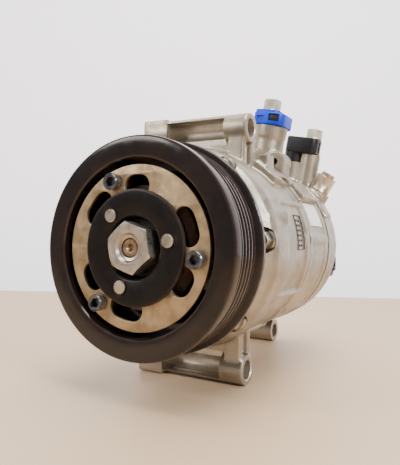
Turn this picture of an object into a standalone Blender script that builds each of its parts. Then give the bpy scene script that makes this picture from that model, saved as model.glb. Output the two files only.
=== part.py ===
"""Belt-driven, clutchless automotive air-conditioning compressor, modelled piece by piece.

Lengths are in millimetres until the helpers turn them into metres. The shaft is the axis of
every turned piece. A station is a distance along the shaft, measured back from the front face
of the pulley. Seen from the front, +x is right and "up" is up.
"""

import math

import bmesh
import bpy
from mathutils import Matrix, Vector

MM = 0.001
GAP = 0.3                       # clearance left between pieces that touch

# Overall sizes
PULLEY_RADIUS = 55.0
PULLEY_WIDTH = 31.5
BODY_RADIUS = 55.6              # outside of the casings at the joints
SHOULDER_RADIUS = BODY_RADIUS + 1.4     # widest part of the front housing
FRONT_HOUSING_REAR = 108.0      # station of the front housing's rear face
BLOCK_LENGTH = 41.2
REAR_HOUSING_LENGTH = 43.0
LUG_SPACING = 137.0             # upper to lower mounting bolt
LUG_LENGTH = 66.0               # across each pair of front mounting bosses
LUG_STATION = 66.5

# Mounting bosses
LUG_BOSS_RADIUS = 8.5
LUG_HOLE_RADIUS = 5.4
LUG_POCKET_WIDTH = 38.0
LUG_POCKET_FLOOR = 9.9          # below the hole
LUG_POCKET_TOP = 5.6            # above the hole
REAR_LUG_LENGTH = 25.0
REAR_LUG_LEFT = -21.0
REAR_LUG_INSET = 9.0            # its centre, forward of the rear face

# Drive end
SHAFT_RADIUS = 8.0
SHAFT_STUB_RADIUS = 4.5
HUB_FRONT = -4.0                # station of the hexagon's front face
HUB_HEX_RADIUS = 13.2           # across the corners, halved
HUB_HEX_TURN = 41.5
DISC_RADIUS = 28.8
DISC_FRONT = 0.2
DISC_DISH = 6.2                 # depth of the dish round the hexagon
SHEET = 2.0                     # thickness of the disc and of the damper plate
PLATE_RADIUS = 41.0
PLATE_FRONT = 2.7
SLOT_OUTER = 36.0
SLOT_INNER = 27.2
SCREW_CIRCLE = 35.2
SCREW_TURN = -7.1
RIVET_CIRCLE = 20.5
RIVET_TURN = 10.8
GROOVES = 6
GROOVE_PITCH = 3.56
GROOVE_DEPTH = 2.7
FIRST_GROOVE = 8.4
FLANGE_RADIUS = 56.3

# Pulley bearing, 35 x 55 x 20
BEARING_BORE = 35.0
BEARING_OUTSIDE = 55.0
BEARING_WIDTH = 20.0
BEARING_FRONT = 11.3
BALLS = 9
BALL_RADIUS = 2.8

# Housing details
NOSE_FRONT = 9.2
NOSE_BORE = 12.6
CAVITY_RADIUS = BODY_RADIUS - 9.0
CAVITY_FRONT = 52.0
CYLINDERS = 7
PISTON_CIRCLE = 33.5
PISTON_RADIUS = 12.6
BOLT_CIRCLE = BODY_RADIUS - 4.8
BOLT_TURN = 5.5
BOLT_RADIUS = 3.0
BOLT_SEAT = 44.5
HEAD_WIDTH = 6.0                # radius of the bolts' flanged heads

# Stack behind the block
GASKET = 0.8
VALVE_PLATE = 3.0

# Swash drive, at its smallest tilt
SWASH_RADIUS = 38.0
SWASH_FRONT = 78.0
SWASH_THICK = 6.0
SHOE_ROOM = 0.6                 # left for the shoes' film on each side of the swash plate
LUG_PLATE_FRONT = 55.6
LUG_PLATE_THICK = 6.0

# Ports
CAP_HEIGHT = 10.0               # of the suction cap
PORT_LEAN = 80.0                # degrees from +x up to the port axis
SUCTION_PORT = (20.0, 58.0, 122.0)
DISCHARGE_PORT = (21.5, 52.0, 171.0)
RELIEF_LEAN = 58.7
RELIEF_SEAT = (42.8, 39.5, 170.0)

BLOCK_FRONT = FRONT_HOUSING_REAR + GASKET + 2 * GAP
BLOCK_REAR = BLOCK_FRONT + BLOCK_LENGTH
PLATE_STACK = BLOCK_REAR + GASKET + 2 * GAP
REAR_FRONT = PLATE_STACK + VALVE_PLATE + GAP
REAR_END = REAR_FRONT + REAR_HOUSING_LENGTH
LUG_UP = LUG_SPACING / 2
SHAFT_HEIGHT = LUG_UP + LUG_BOSS_RADIUS
MIDDLE_STATION = (HUB_FRONT + REAR_END) / 2
HINGE_PIN = (18.5, 70.5, 2.6)                   # up, station, radius
CONTROL_VALVE = (-14.0, REAR_END - 9.5, 6.6)    # up, station, bore radius
VALVE_FACE = 45.5                               # x of the face that the valve head seats on

ROUND = 28                      # sides of a large turned piece
SMALL = 16
FINE = 8


# ---------------------------------------------------------------- helpers

def clear_scene():
    for obj in list(bpy.data.objects):
        bpy.data.objects.remove(obj, do_unlink=True)


def new_collection(name):
    made = bpy.data.collections.new(name)
    bpy.context.scene.collection.children.link(made)
    return made


def shaft_empty(name, collection):
    """An empty on the shaft axis at station 0, whose local +Z points out of the front."""
    empty = bpy.data.objects.new(name, None)
    empty.location = (0, -MIDDLE_STATION * MM, SHAFT_HEIGHT * MM)
    empty.rotation_euler = (math.radians(90), 0, 0)
    collection.objects.link(empty)
    return empty


def finish_colour(name, colour, roughness, metallic):
    material = bpy.data.materials.new(name)
    material.use_nodes = True
    shader = material.node_tree.nodes["Principled BSDF"]
    shader.inputs["Base Color"].default_value = (*colour, 1.0)
    shader.inputs["Roughness"].default_value = roughness
    shader.inputs["Metallic"].default_value = metallic
    return material


def at(x, up, station):
    return Vector((x, up, -station)) * MM


def around(radius, degrees, station):
    turn = math.radians(degrees)
    return at(radius * math.cos(turn), radius * math.sin(turn), station)


def new_object(name, mesh):
    obj = bpy.data.objects.new(name, mesh)
    bpy.context.scene.collection.objects.link(obj)
    return obj


def bake(obj):
    """Turns the object, with its modifiers or as a curve, into one plain mesh."""
    bpy.context.view_layer.update()
    graph = bpy.context.evaluated_depsgraph_get()
    mesh = bpy.data.meshes.new_from_object(obj.evaluated_get(graph))
    if obj.type == "MESH":
        obj.modifiers.clear()
        obj.data = mesh
        return obj
    name = obj.name
    made = new_object(name, mesh)
    made.matrix_world = obj.matrix_world
    bpy.data.objects.remove(obj)
    made.name = name
    builder = bmesh.new()
    builder.from_mesh(mesh)
    bmesh.ops.remove_doubles(builder, verts=builder.verts, dist=0.00001)
    builder.to_mesh(mesh)
    builder.free()
    return made


def combine(obj, tool, operation):
    modifier = obj.modifiers.new(operation.title(), "BOOLEAN")
    modifier.operation = operation
    modifier.solver = "EXACT"
    modifier.object = tool
    bake(obj)
    bpy.data.objects.remove(tool)
    return obj


def cut(obj, *tools):
    for tool in tools:
        combine(obj, tool, "DIFFERENCE")
    return obj


def join(obj, *tools):
    for tool in tools:
        combine(obj, tool, "UNION")
    return obj


def turned(name, profile, sides=ROUND):
    """Turns a loop of (station, radius) points about the shaft axis."""
    points = [Vector((radius, 0, -station)) * MM for station, radius in profile]
    following = points[1:] + points[:1]
    if sum(a.x * b.z - b.x * a.z for a, b in zip(points, following)) > 0:
        points.reverse()
    count = len(points)
    on_axis = points[0].x == 0 and points[-1].x == 0
    edges = [(i, (i + 1) % count) for i in range(count - on_axis)]
    mesh = bpy.data.meshes.new(name)
    mesh.from_pydata(points, edges, [])
    obj = new_object(name, mesh)
    screw = obj.modifiers.new("Turn", "SCREW")
    screw.axis = "Z"
    screw.angle = math.tau
    screw.steps = sides
    screw.render_steps = sides
    screw.use_merge_vertices = True
    screw.merge_threshold = 0.00001
    return bake(obj)


def ring(name, front, rear, inner, outer, sides=ROUND):
    return turned(name, [(front, inner), (front, outer), (rear, outer), (rear, inner)], sides)


def rod(name, start, end, radius, sides=SMALL, end_radius=None, turn=0.0):
    """A cylinder, cone or prism between two points."""
    along = end - start
    place = Matrix.Translation((start + end) / 2) @ along.to_track_quat("Z", "X").to_matrix().to_4x4()
    builder = bmesh.new()
    bmesh.ops.create_cone(
        builder, cap_ends=True, segments=sides, radius1=radius * MM,
        radius2=(radius if end_radius is None else end_radius) * MM, depth=along.length,
        matrix=place @ Matrix.Rotation(math.radians(turn), 4, "Z"))
    mesh = bpy.data.meshes.new(name)
    builder.to_mesh(mesh)
    builder.free()
    return new_object(name, mesh)


def box(name, low, high, turn=0.0):
    """A block between two corners (x, up, station), turned about the shaft axis."""
    low, high = at(*low), at(*high)
    size = Matrix.Diagonal([abs(value) for value in high - low]).to_4x4()
    builder = bmesh.new()
    bmesh.ops.create_cube(
        builder, size=1.0,
        matrix=Matrix.Rotation(math.radians(turn), 4, "Z")
        @ Matrix.Translation((low + high) / 2) @ size)
    mesh = bpy.data.meshes.new(name)
    builder.to_mesh(mesh)
    builder.free()
    return new_object(name, mesh)


def circle_points(radius, sides, centre=(0.0, 0.0)):
    turns = [math.tau * i / sides for i in range(sides)]
    return [(centre[0] + radius * math.cos(t), centre[1] + radius * math.sin(t)) for t in turns]


def polar(radius, degrees):
    turn = math.radians(degrees)
    return radius * math.cos(turn), radius * math.sin(turn)


def sheet(name, front, rear, outlines):
    """A flat sheet square to the shaft: the first outline is its edge, the others are holes."""
    curve = bpy.data.curves.new(name, "CURVE")
    curve.dimensions = "2D"
    curve.fill_mode = "BOTH"
    curve.extrude = (rear - front) / 2 * MM
    for outline in outlines:
        spline = curve.splines.new("POLY")
        spline.points.add(len(outline) - 1)
        for point, (x, up) in zip(spline.points, outline):
            point.co = (x * MM, up * MM, 0, 1)
        spline.use_cyclic_u = True
    obj = new_object(name, curve)
    obj.location = (0, 0, -(front + rear) / 2 * MM)
    made = bake(obj)
    made.data.transform(made.matrix_world)
    made.matrix_world = Matrix.Identity(4)
    return made


def place(obj, parent, collection, material):
    """Puts a finished piece in the assembly, shaded smooth between its real edges."""
    for holder in list(obj.users_collection):
        holder.objects.unlink(obj)
    collection.objects.link(obj)
    obj.parent = parent
    obj.data.name = obj.name
    obj.data.materials.clear()
    obj.data.materials.append(material)
    obj.data.shade_smooth()
    obj.data.set_sharp_from_angle(angle=math.radians(35))


def bolt_turns():
    return [BOLT_TURN + 360 / CYLINDERS * i for i in range(CYLINDERS)]


def cylinder_turns():
    return [BOLT_TURN + 360 / CYLINDERS * (i + 0.5) for i in range(CYLINDERS)]


def thirds(first):
    return [first + 120 * i for i in range(3)]


def port_point(base, across, along, height, lean=PORT_LEAN):
    """A point near a port: across it, back along the shaft, and out along its axis."""
    turn = math.radians(lean)
    x, up, station = base
    return at(x + height * math.cos(turn) + across * math.sin(turn),
              up + height * math.sin(turn) - across * math.cos(turn), station + along)


# ---------------------------------------------------------------- drive end

def pulley():
    rim = PULLEY_RADIUS - 1.3
    profile = [(0.6, 44.2), (0, 44.8), (0, PULLEY_RADIUS - 0.7), (0.7, PULLEY_RADIUS),
               (FIRST_GROOVE - 2.0, PULLEY_RADIUS)]
    for i in range(GROOVES):
        middle = FIRST_GROOVE + GROOVE_PITCH * i
        profile += [(middle - GROOVE_PITCH / 2, rim), (middle, rim - GROOVE_DEPTH)]
    last = FIRST_GROOVE + GROOVE_PITCH * (GROOVES - 0.5)
    seat = BEARING_OUTSIDE / 2 + GAP
    web = (18.0, 24.0)
    wall = 31.2
    profile += [(last, rim), (last + 0.5, FLANGE_RADIUS), (PULLEY_WIDTH, FLANGE_RADIUS),
                (PULLEY_WIDTH, 47.5), (web[1], 47.5), (web[1], wall), (PULLEY_WIDTH, wall),
                (PULLEY_WIDTH, seat), (BEARING_FRONT - GAP, seat), (BEARING_FRONT - GAP, 26.0),
                (9.4, 26.0), (9.4, wall), (web[0], wall), (web[0], 43.6)]
    body = turned("pulley", profile)
    boss_front = PLATE_FRONT + SHEET + GAP
    for turn in thirds(SCREW_TURN):
        boss = rod("boss", around(SCREW_CIRCLE, turn, boss_front),
                   around(SCREW_CIRCLE, turn, web[0] + 2), 6.0, FINE)
        hole = rod("hole", around(SCREW_CIRCLE, turn, boss_front - 1),
                   around(SCREW_CIRCLE, turn, web[0] - 1), 2.8, FINE)
        join(body, cut(boss, hole))
    return body


def bearing_outer_ring():
    outer = BEARING_OUTSIDE / 2
    inner = outer - 3.6
    front = BEARING_FRONT
    rear = front + BEARING_WIDTH - GAP
    middle = (front + rear) / 2
    return turned("bearing_outer_ring", [
        (front, inner), (front, outer), (rear, outer), (rear, inner), (middle + 3.0, inner),
        (middle + 1.2, inner + 1.7), (middle - 1.2, inner + 1.7), (middle - 3.0, inner)])


def bearing_inner_ring():
    inner = BEARING_BORE / 2 + 0.1
    outer = inner + 3.6
    front = BEARING_FRONT
    rear = front + BEARING_WIDTH - GAP
    middle = (front + rear) / 2
    return turned("bearing_inner_ring", [
        (front, inner), (front, outer), (middle - 3.0, outer), (middle - 1.2, outer - 1.4),
        (middle + 1.2, outer - 1.4), (middle + 3.0, outer), (rear, outer), (rear, inner)])


def bearing_ball_cage():
    circle = (BEARING_OUTSIDE + BEARING_BORE) / 4
    middle = BEARING_FRONT + (BEARING_WIDTH - GAP) / 2
    cage = ring("bearing_ball_cage", middle - 4.0, middle + 4.0, circle - 0.7, circle + 0.7, SMALL)
    for i in range(BALLS):
        builder = bmesh.new()
        bmesh.ops.create_uvsphere(
            builder, u_segments=6, v_segments=4, radius=(BALL_RADIUS - GAP) * MM,
            matrix=Matrix.Translation(around(circle, 360 / BALLS * i + 3, middle)))
        mesh = bpy.data.meshes.new("ball")
        builder.to_mesh(mesh)
        builder.free()
        join(cage, new_object("ball", mesh))
    return cage


def bearing_snap_ring():
    front = NOSE_FRONT + 0.9
    washer = ring("bearing_snap_ring", front, front + 0.7, BEARING_BORE / 2 - 0.7,
                  BEARING_BORE / 2 + 2.0)
    opening = box("opening", (-2.5, -BEARING_BORE, front - 1), (2.5, 0, front + 2))
    return cut(washer, opening)


def kidney(first, last):
    """A slot along an arc, with round ends."""
    middle = (SLOT_OUTER + SLOT_INNER) / 2
    half = (SLOT_OUTER - SLOT_INNER) / 2
    end = math.degrees(half / middle)
    near, far = first + end, last - end
    steps = 4
    outer = [polar(SLOT_OUTER, near + (far - near) * i / steps) for i in range(steps + 1)]
    inner = [polar(SLOT_INNER, far + (near - far) * i / steps) for i in range(steps + 1)]

    def cap(turn, start):
        x, up = polar(middle, turn)
        swing = [math.radians(start + 180 * i / 5) for i in range(1, 5)]
        return [(x + half * math.cos(a), up + half * math.sin(a)) for a in swing]

    return outer + cap(far, far) + inner + cap(near, near + 180)


def damper_plate():
    outlines = [circle_points(PLATE_RADIUS, 48), circle_points(18.0, SMALL)]
    for turn in thirds(SCREW_TURN):
        outlines += [kidney(turn + 9, turn + 46), kidney(turn - 36.5, turn - 8.5),
                     circle_points(2.8, FINE, polar(SCREW_CIRCLE, turn))]
    for turn in thirds(RIVET_TURN):
        outlines.append(circle_points(1.9, FINE, polar(RIVET_CIRCLE, turn)))
    return sheet("damper_plate", PLATE_FRONT, PLATE_FRONT + SHEET, outlines)


def centre_disc():
    front, rear = DISC_FRONT, DISC_FRONT + SHEET
    mouth = HUB_HEX_RADIUS + 2.4
    floor = HUB_HEX_RADIUS + 0.8
    bore = 10.4 + GAP
    disc = turned("centre_disc", [
        (front, DISC_RADIUS - 0.4), (front + 0.4, DISC_RADIUS), (rear, DISC_RADIUS),
        (rear, mouth + 1.7), (rear + DISC_DISH, floor + 1.7), (rear + DISC_DISH, bore),
        (front + DISC_DISH, bore), (front + DISC_DISH, floor), (front, mouth)])
    for turn in thirds(RIVET_TURN):
        cut(disc, rod("hole", around(RIVET_CIRCLE, turn, front - 1),
                      around(RIVET_CIRCLE, turn, rear + 1), 1.9, FINE))
    return disc


def hub():
    floor = DISC_FRONT + DISC_DISH - GAP
    sleeve = DISC_FRONT + DISC_DISH + SHEET + GAP
    body = rod("hub", at(0, 0, floor), at(0, 0, HUB_FRONT), HUB_HEX_RADIUS, 6, turn=0.0)
    body.data.transform(Matrix.Rotation(hex_correction(body), 4, "Z"))
    tail = turned("tail", [(floor - 1, 0), (floor - 1, 10.4), (sleeve, 10.4), (sleeve, 12.0),
                           (20.0, 12.0), (20.0, 0)], SMALL)
    bore = turned("bore", [(HUB_FRONT - 0.5, 0), (HUB_FRONT - 0.5, 7.4), (HUB_FRONT + 2.0, 4.85),
                           (6.2, 4.85), (6.2, SHAFT_RADIUS + GAP), (21.0, SHAFT_RADIUS + GAP),
                           (21.0, 0)], SMALL)
    return cut(join(body, tail), bore)


def hex_correction(body):
    """The turn that brings the hexagon's nearest corner to its stated angle."""
    corner = body.data.vertices[0].co
    return math.radians(HUB_HEX_TURN) - math.atan2(corner.y, corner.x)


def plate_screw(number, turn):
    head = PLATE_FRONT - GAP
    name = f"plate_screw_{number}"
    body = rod(name, around(SCREW_CIRCLE, turn, head), around(SCREW_CIRCLE, turn, head - 4.2), 4.3, 16)
    join(body, rod("shank", around(SCREW_CIRCLE, turn, head - 1),
                   around(SCREW_CIRCLE, turn, 16.0), 2.4, FINE))
    return cut(body, rod("socket", around(SCREW_CIRCLE, turn, head - 6),
                         around(SCREW_CIRCLE, turn, head - 1.6), 2.4, 6))


def rivet(number, turn):
    """A headed pin through the disc and the plate, closed over behind the plate."""
    front = DISC_FRONT - GAP
    rear = PLATE_FRONT + SHEET + GAP
    name = f"rivet_{number}"
    body = rod(name, around(RIVET_CIRCLE, turn, front - 1.1), around(RIVET_CIRCLE, turn, front), 3.3, 16)
    join(body, rod("shank", around(RIVET_CIRCLE, turn, front - 0.5),
                   around(RIVET_CIRCLE, turn, rear + 0.5), 1.6, 16))
    return join(body, rod("tail", around(RIVET_CIRCLE, turn, rear),
                          around(RIVET_CIRCLE, turn, rear + 1.1), 2.4, 16))


# ---------------------------------------------------------------- shaft and swash drive

def shaft():
    step = 6.5
    rear = BLOCK_REAR - 12.0
    body = turned("shaft", [
        (HUB_FRONT + 1.8, 0), (HUB_FRONT + 1.8, SHAFT_STUB_RADIUS - 0.5),
        (HUB_FRONT + 2.3, SHAFT_STUB_RADIUS), (step, SHAFT_STUB_RADIUS), (step, SHAFT_RADIUS),
        (rear, SHAFT_RADIUS), (rear, 0)], SMALL)
    return cut(body, rod("centre", at(0, 0, HUB_FRONT + 1), at(0, 0, HUB_FRONT + 5), 1.6, FINE,
                         end_radius=0.8))


def hinge_ears(first, last, front, rear, inner, outer):
    return box("ear", (first, inner, front), (last, outer, rear))


def lug_plate():
    rear = LUG_PLATE_FRONT + LUG_PLATE_THICK
    body = ring("lug_plate", LUG_PLATE_FRONT, rear, SHAFT_RADIUS + GAP, 40.0)
    for first, last in ((-7.5, -3.8), (3.8, 7.5)):
        join(body, hinge_ears(first, last, rear - 1, SWASH_FRONT - 2.5, 13.0, 24.5))
    return cut(body, hinge_hole())


def swash_plate():
    rear = SWASH_FRONT + SWASH_THICK
    body = turned("swash_plate", [
        (SWASH_FRONT, 9.4), (SWASH_FRONT, SWASH_RADIUS), (rear, SWASH_RADIUS), (rear, 16.0),
        (rear + 6.0, 16.0), (rear + 6.0, 9.4)])
    join(body, hinge_ears(-3.4, 3.4, 66.0, SWASH_FRONT + 1, 13.0, 24.0))
    return cut(body, hinge_hole())


def hinge_hole():
    up, station, radius = HINGE_PIN
    return rod("hole", at(-9, up, station), at(9, up, station), radius + GAP, FINE)


def hinge_pin():
    up, station, radius = HINGE_PIN
    return rod("hinge_pin", at(-7.5, up, station), at(7.5, up, station), radius, FINE)


def return_spring():
    """A coil between the lug plate and the swash plate, round the shaft."""
    curve = bpy.data.curves.new("return_spring", "CURVE")
    curve.dimensions = "3D"
    curve.bevel_depth = 0.9 * MM
    curve.bevel_resolution = 1
    curve.use_fill_caps = True
    front = LUG_PLATE_FRONT + LUG_PLATE_THICK + GAP + 1.0
    rear = SWASH_FRONT - GAP - 1.0
    turns, per_turn, radius = 3, 14, SHAFT_RADIUS + 1.9
    count = turns * per_turn
    spline = curve.splines.new("POLY")
    spline.points.add(count)
    for i, point in enumerate(spline.points):
        spot = around(radius, 360 * i / per_turn, front + (rear - front) * i / count)
        point.co = (*spot, 1)
    return bake(new_object("return_spring", curve))


def piston(number, turn):
    """A single-ended piston whose claw reaches over the rim of the swash plate."""
    front = SWASH_FRONT - SHOE_ROOM
    rear = SWASH_FRONT + SWASH_THICK + SHOE_ROOM
    claw_front = front - 10.0
    head_front = rear + 8.0
    reach = PISTON_CIRCLE + PISTON_RADIUS - 0.8
    rim = SWASH_RADIUS + 0.8
    name = f"piston_{number}"

    def centre(station):
        return around(PISTON_CIRCLE, turn, station)

    body = rod(name, centre(head_front), centre(BLOCK_REAR - 0.8), PISTON_RADIUS, 20)
    claw = box("claw", (PISTON_CIRCLE - 6.0, -6.0, claw_front), (reach, 6.0, head_front + 2), turn)
    cut(claw, box("slot", (0, -9.0, front), (rim, 9.0, rear), turn))
    return join(body, claw)


# ---------------------------------------------------------------- casings

def add_front_lug(body, side):
    """One pair of mounting bosses, cast across the top (side 1) or bottom (side -1)."""
    half = LUG_LENGTH / 2
    up = side * LUG_UP
    front, rear = LUG_STATION - LUG_BOSS_RADIUS, LUG_STATION + LUG_BOSS_RADIUS
    pocket = LUG_POCKET_WIDTH / 2
    join(body,
         rod("boss", at(-half, up, LUG_STATION), at(half, up, LUG_STATION), LUG_BOSS_RADIUS),
         box("web", (-half + 3.0, side * 44, front + 3.0), (half - 3.0, up, rear - 1.5)))
    cut(body,
        box("pocket", (-pocket, side * (LUG_UP - LUG_POCKET_FLOOR), front - 2),
            (pocket, side * (LUG_UP + LUG_POCKET_TOP), LUG_STATION)),
        rod("hole", at(-half - 2, up, LUG_STATION), at(half + 2, up, LUG_STATION), LUG_HOLE_RADIUS))


def bolt_holes(front, rear, radius):
    return [rod("hole", around(BOLT_CIRCLE, turn, front), around(BOLT_CIRCLE, turn, rear), radius, FINE)
            for turn in bolt_turns()]


def front_housing():
    stop = BEARING_FRONT + BEARING_WIDTH
    groove = NOSE_FRONT + 0.7
    body = turned("front_housing", [
        (NOSE_FRONT, NOSE_BORE), (NOSE_FRONT, BEARING_BORE / 2 - 0.5),
        (NOSE_FRONT + 0.3, BEARING_BORE / 2 - 0.2), (groove, BEARING_BORE / 2 - 0.2),
        (groove, BEARING_BORE / 2 - 1.1), (groove + 1.1, BEARING_BORE / 2 - 1.1),
        (groove + 1.1, BEARING_BORE / 2 - 0.2), (stop, BEARING_BORE / 2 - 0.2), (stop, 20.5),
        (35.5, 20.5), (37, 24), (37, 46), (39.5, 51.5), (43.5, SHOULDER_RADIUS - 1.4),
        (48, SHOULDER_RADIUS), (52, SHOULDER_RADIUS), (FRONT_HOUSING_REAR, BODY_RADIUS),
        (FRONT_HOUSING_REAR, NOSE_BORE), (34.5, NOSE_BORE), (34.5, 9.5), (31, 9.5), (31, NOSE_BORE)])
    join(body,
         box("pad", (50.0, -9.0, 84.0), (59.0, 9.0, FRONT_HOUSING_REAR), 52.0),
         rod("bulge", around(50, BOLT_TURN + 13, 45), around(53, BOLT_TURN + 13, 66), 6.5, 16))
    add_front_lug(body, 1)
    add_front_lug(body, -1)
    seats = [rod("seat", around(BOLT_CIRCLE, turn, 30), around(BOLT_CIRCLE, turn, BOLT_SEAT),
                 HEAD_WIDTH + 0.9, 16) for turn in bolt_turns()]
    holes = bolt_holes(BOLT_SEAT - 1, FRONT_HOUSING_REAR + 1, BOLT_RADIUS + GAP)
    cavity = rod("cavity", at(0, 0, CAVITY_FRONT), at(0, 0, FRONT_HOUSING_REAR + 1), CAVITY_RADIUS, ROUND)
    return cut(body, cavity, *seats, *holes)


def front_gasket():
    front = FRONT_HOUSING_REAR + GAP
    outlines = [circle_points(BODY_RADIUS - 0.7, ROUND), circle_points(CAVITY_RADIUS + 0.2, ROUND)]
    outlines += [circle_points(BOLT_RADIUS + GAP, 8, polar(BOLT_CIRCLE, turn))
                 for turn in bolt_turns()]
    return sheet("front_gasket", front, front + GASKET, outlines)


def cylinder_block():
    body = turned("cylinder_block", [
        (BLOCK_FRONT, SHAFT_RADIUS + 3.3), (BLOCK_FRONT, BODY_RADIUS), (BLOCK_REAR, BODY_RADIUS),
        (BLOCK_REAR, 5.0), (BLOCK_REAR - 10.0, 5.0), (BLOCK_REAR - 10.0, SHAFT_RADIUS + 3.3)])
    tower = port_point(SUCTION_PORT, 0, 0, -10), port_point(SUCTION_PORT, 0, 0, 22.5)
    ear = at(30.5, 55.5, BLOCK_FRONT + 1), at(30.5, 55.5, BLOCK_FRONT + 16)
    join(body,
         rod("tower", tower[0], tower[1], 11.0, SMALL, end_radius=9.8),
         box("tower_web", (8.0, 44.0, 112.0), (30.0, 58.0, 136.0)),
         rod("ear", ear[0], ear[1], 6.6, 16),
         box("ear_web", (25.0, 40.0, BLOCK_FRONT + 1), (36.0, 55.5, BLOCK_FRONT + 14)),
         box("pad", (50.0, -9.0, BLOCK_FRONT + 3), (58.0, 8.0, BLOCK_REAR - 2), 41.0))
    bores = [rod("bore", around(PISTON_CIRCLE, turn, BLOCK_FRONT - 1),
                 around(PISTON_CIRCLE, turn, BLOCK_REAR + 1), PISTON_RADIUS + GAP, 20)
             for turn in cylinder_turns()]
    cut(body, *bores, *bolt_holes(BLOCK_FRONT - 1, BLOCK_REAR + 1, BOLT_RADIUS + GAP))
    return cut(body,
               rod("port", port_point(SUCTION_PORT, 0, 0, 6), port_point(SUCTION_PORT, 0, 0, 24), 6.5, 20),
               rod("thread", at(30.5, 55.5, BLOCK_FRONT - 1), at(30.5, 55.5, BLOCK_FRONT + 12), 2.2, FINE))


def stack_outlines():
    return [circle_points(BODY_RADIUS - 0.7, ROUND)] + [
        circle_points(BOLT_RADIUS + GAP, 8, polar(BOLT_CIRCLE, turn)) for turn in bolt_turns()]


def rear_gasket():
    """The sheet gasket, open over each cylinder."""
    outlines = stack_outlines() + [
        circle_points(PISTON_RADIUS + GAP, 16, polar(PISTON_CIRCLE, turn)) for turn in cylinder_turns()]
    return sheet("rear_gasket", BLOCK_REAR + GAP, BLOCK_REAR + GAP + GASKET, outlines)


def valve_plate():
    """The plate between the cylinders and the head, with a way in and out of each cylinder."""
    outlines = stack_outlines()
    for turn in cylinder_turns():
        outlines += [circle_points(3.2, 6, polar(PISTON_CIRCLE + 5.5, turn)),
                     circle_points(2.4, 6, polar(PISTON_CIRCLE - 8.0, turn))]
    return sheet("valve_plate", PLATE_STACK, PLATE_STACK + VALVE_PLATE, outlines)


def rear_housing():
    floor = REAR_FRONT + 24.0
    body = turned("rear_housing", [
        (REAR_END, 0), (REAR_END, 42), (REAR_END - 6, 49), (REAR_END - 13, 53.5),
        (REAR_END - 21, BODY_RADIUS), (REAR_FRONT, BODY_RADIUS), (REAR_FRONT, 0)])
    up, station, radius = CONTROL_VALVE
    lug_up, lug_station = -LUG_UP, REAR_END - REAR_LUG_INSET
    right = REAR_LUG_LEFT + REAR_LUG_LENGTH

    def relief(height):
        return port_point(RELIEF_SEAT, 0, 0, height, RELIEF_LEAN)

    join(body,
         rod("valve_boss", at(34.0, up, station), at(VALVE_FACE + 2, up, station), 9.0),
         rod("lug", at(REAR_LUG_LEFT, lug_up, lug_station), at(right, lug_up, lug_station),
             LUG_BOSS_RADIUS),
         box("lug_web", (REAR_LUG_LEFT + 3, -40, lug_station - 6), (right - 3, lug_up, lug_station + 5)),
         rod("relief_boss", relief(-16), relief(-GAP), 8.8),
         rod("port_boss", port_point(DISCHARGE_PORT, 0, 0, -14), port_point(DISCHARGE_PORT, 0, 0, 18.5),
             8.0),
         rod("bolt_boss", port_point(DISCHARGE_PORT, 12, 2, -16), port_point(DISCHARGE_PORT, 12, 2, 18.5),
             7.0))
    return cut(
        body,
        ring("suction_chamber", REAR_FRONT - 1, floor, 29.0, 46.0),
        rod("discharge_chamber", at(0, 0, REAR_FRONT - 1), at(0, 0, floor), 22.5),
        *bolt_holes(REAR_FRONT - 1, REAR_FRONT + 17, BOLT_RADIUS + GAP),
        rod("valve_bore", at(8.0, up, station), at(56.0, up, station), radius),
        rod("valve_seat", at(VALVE_FACE, up, station), at(60.0, up, station), 9.3),
        rod("lug_hole", at(REAR_LUG_LEFT - 2, lug_up, lug_station), at(right + 2, lug_up, lug_station),
            LUG_HOLE_RADIUS),
        rod("relief_face", relief(-GAP), relief(18), 8.2, 16),
        rod("relief_hole", relief(-12), relief(2), 4.6, 16),
        rod("port", port_point(DISCHARGE_PORT, 0, 0, 2), port_point(DISCHARGE_PORT, 0, 0, 20), 5.0, 16),
        rod("thread", port_point(DISCHARGE_PORT, 12, 2, 2), port_point(DISCHARGE_PORT, 12, 2, 20), 3.3,
            FINE))


def through_bolt(number, turn):
    name = f"through_bolt_{number}"
    seat = BOLT_SEAT - GAP

    def spot(station):
        return around(BOLT_CIRCLE, turn, station)

    body = rod(name, spot(seat), spot(seat - 1.6), HEAD_WIDTH, 16)
    return join(body, rod("hex", spot(seat - 1), spot(seat - 6.8), 4.9, 6),
                rod("shank", spot(seat - 1), spot(REAR_FRONT + 15), BOLT_RADIUS, FINE))


# ---------------------------------------------------------------- bearings and seal

def shaft_seal():
    return turned("shaft_seal", [
        (21.5, 8.9), (21.5, NOSE_BORE - GAP), (29.5, NOSE_BORE - GAP), (29.5, 10.0), (27.5, 8.3),
        (25.5, 8.3)], SMALL)


def front_radial_bearing():
    return ring("front_radial_bearing", 35.0, 50.0, SHAFT_RADIUS + GAP, NOSE_BORE - GAP, SMALL)


def front_thrust_bearing():
    return ring("front_thrust_bearing", CAVITY_FRONT + GAP, LUG_PLATE_FRONT - GAP, 14.0, 26.0, SMALL)


def rear_radial_bearing():
    return ring("rear_radial_bearing", BLOCK_FRONT + 10, BLOCK_REAR - 12, SHAFT_RADIUS + GAP,
                SHAFT_RADIUS + 3.0, SMALL)


# ---------------------------------------------------------------- fittings

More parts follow.
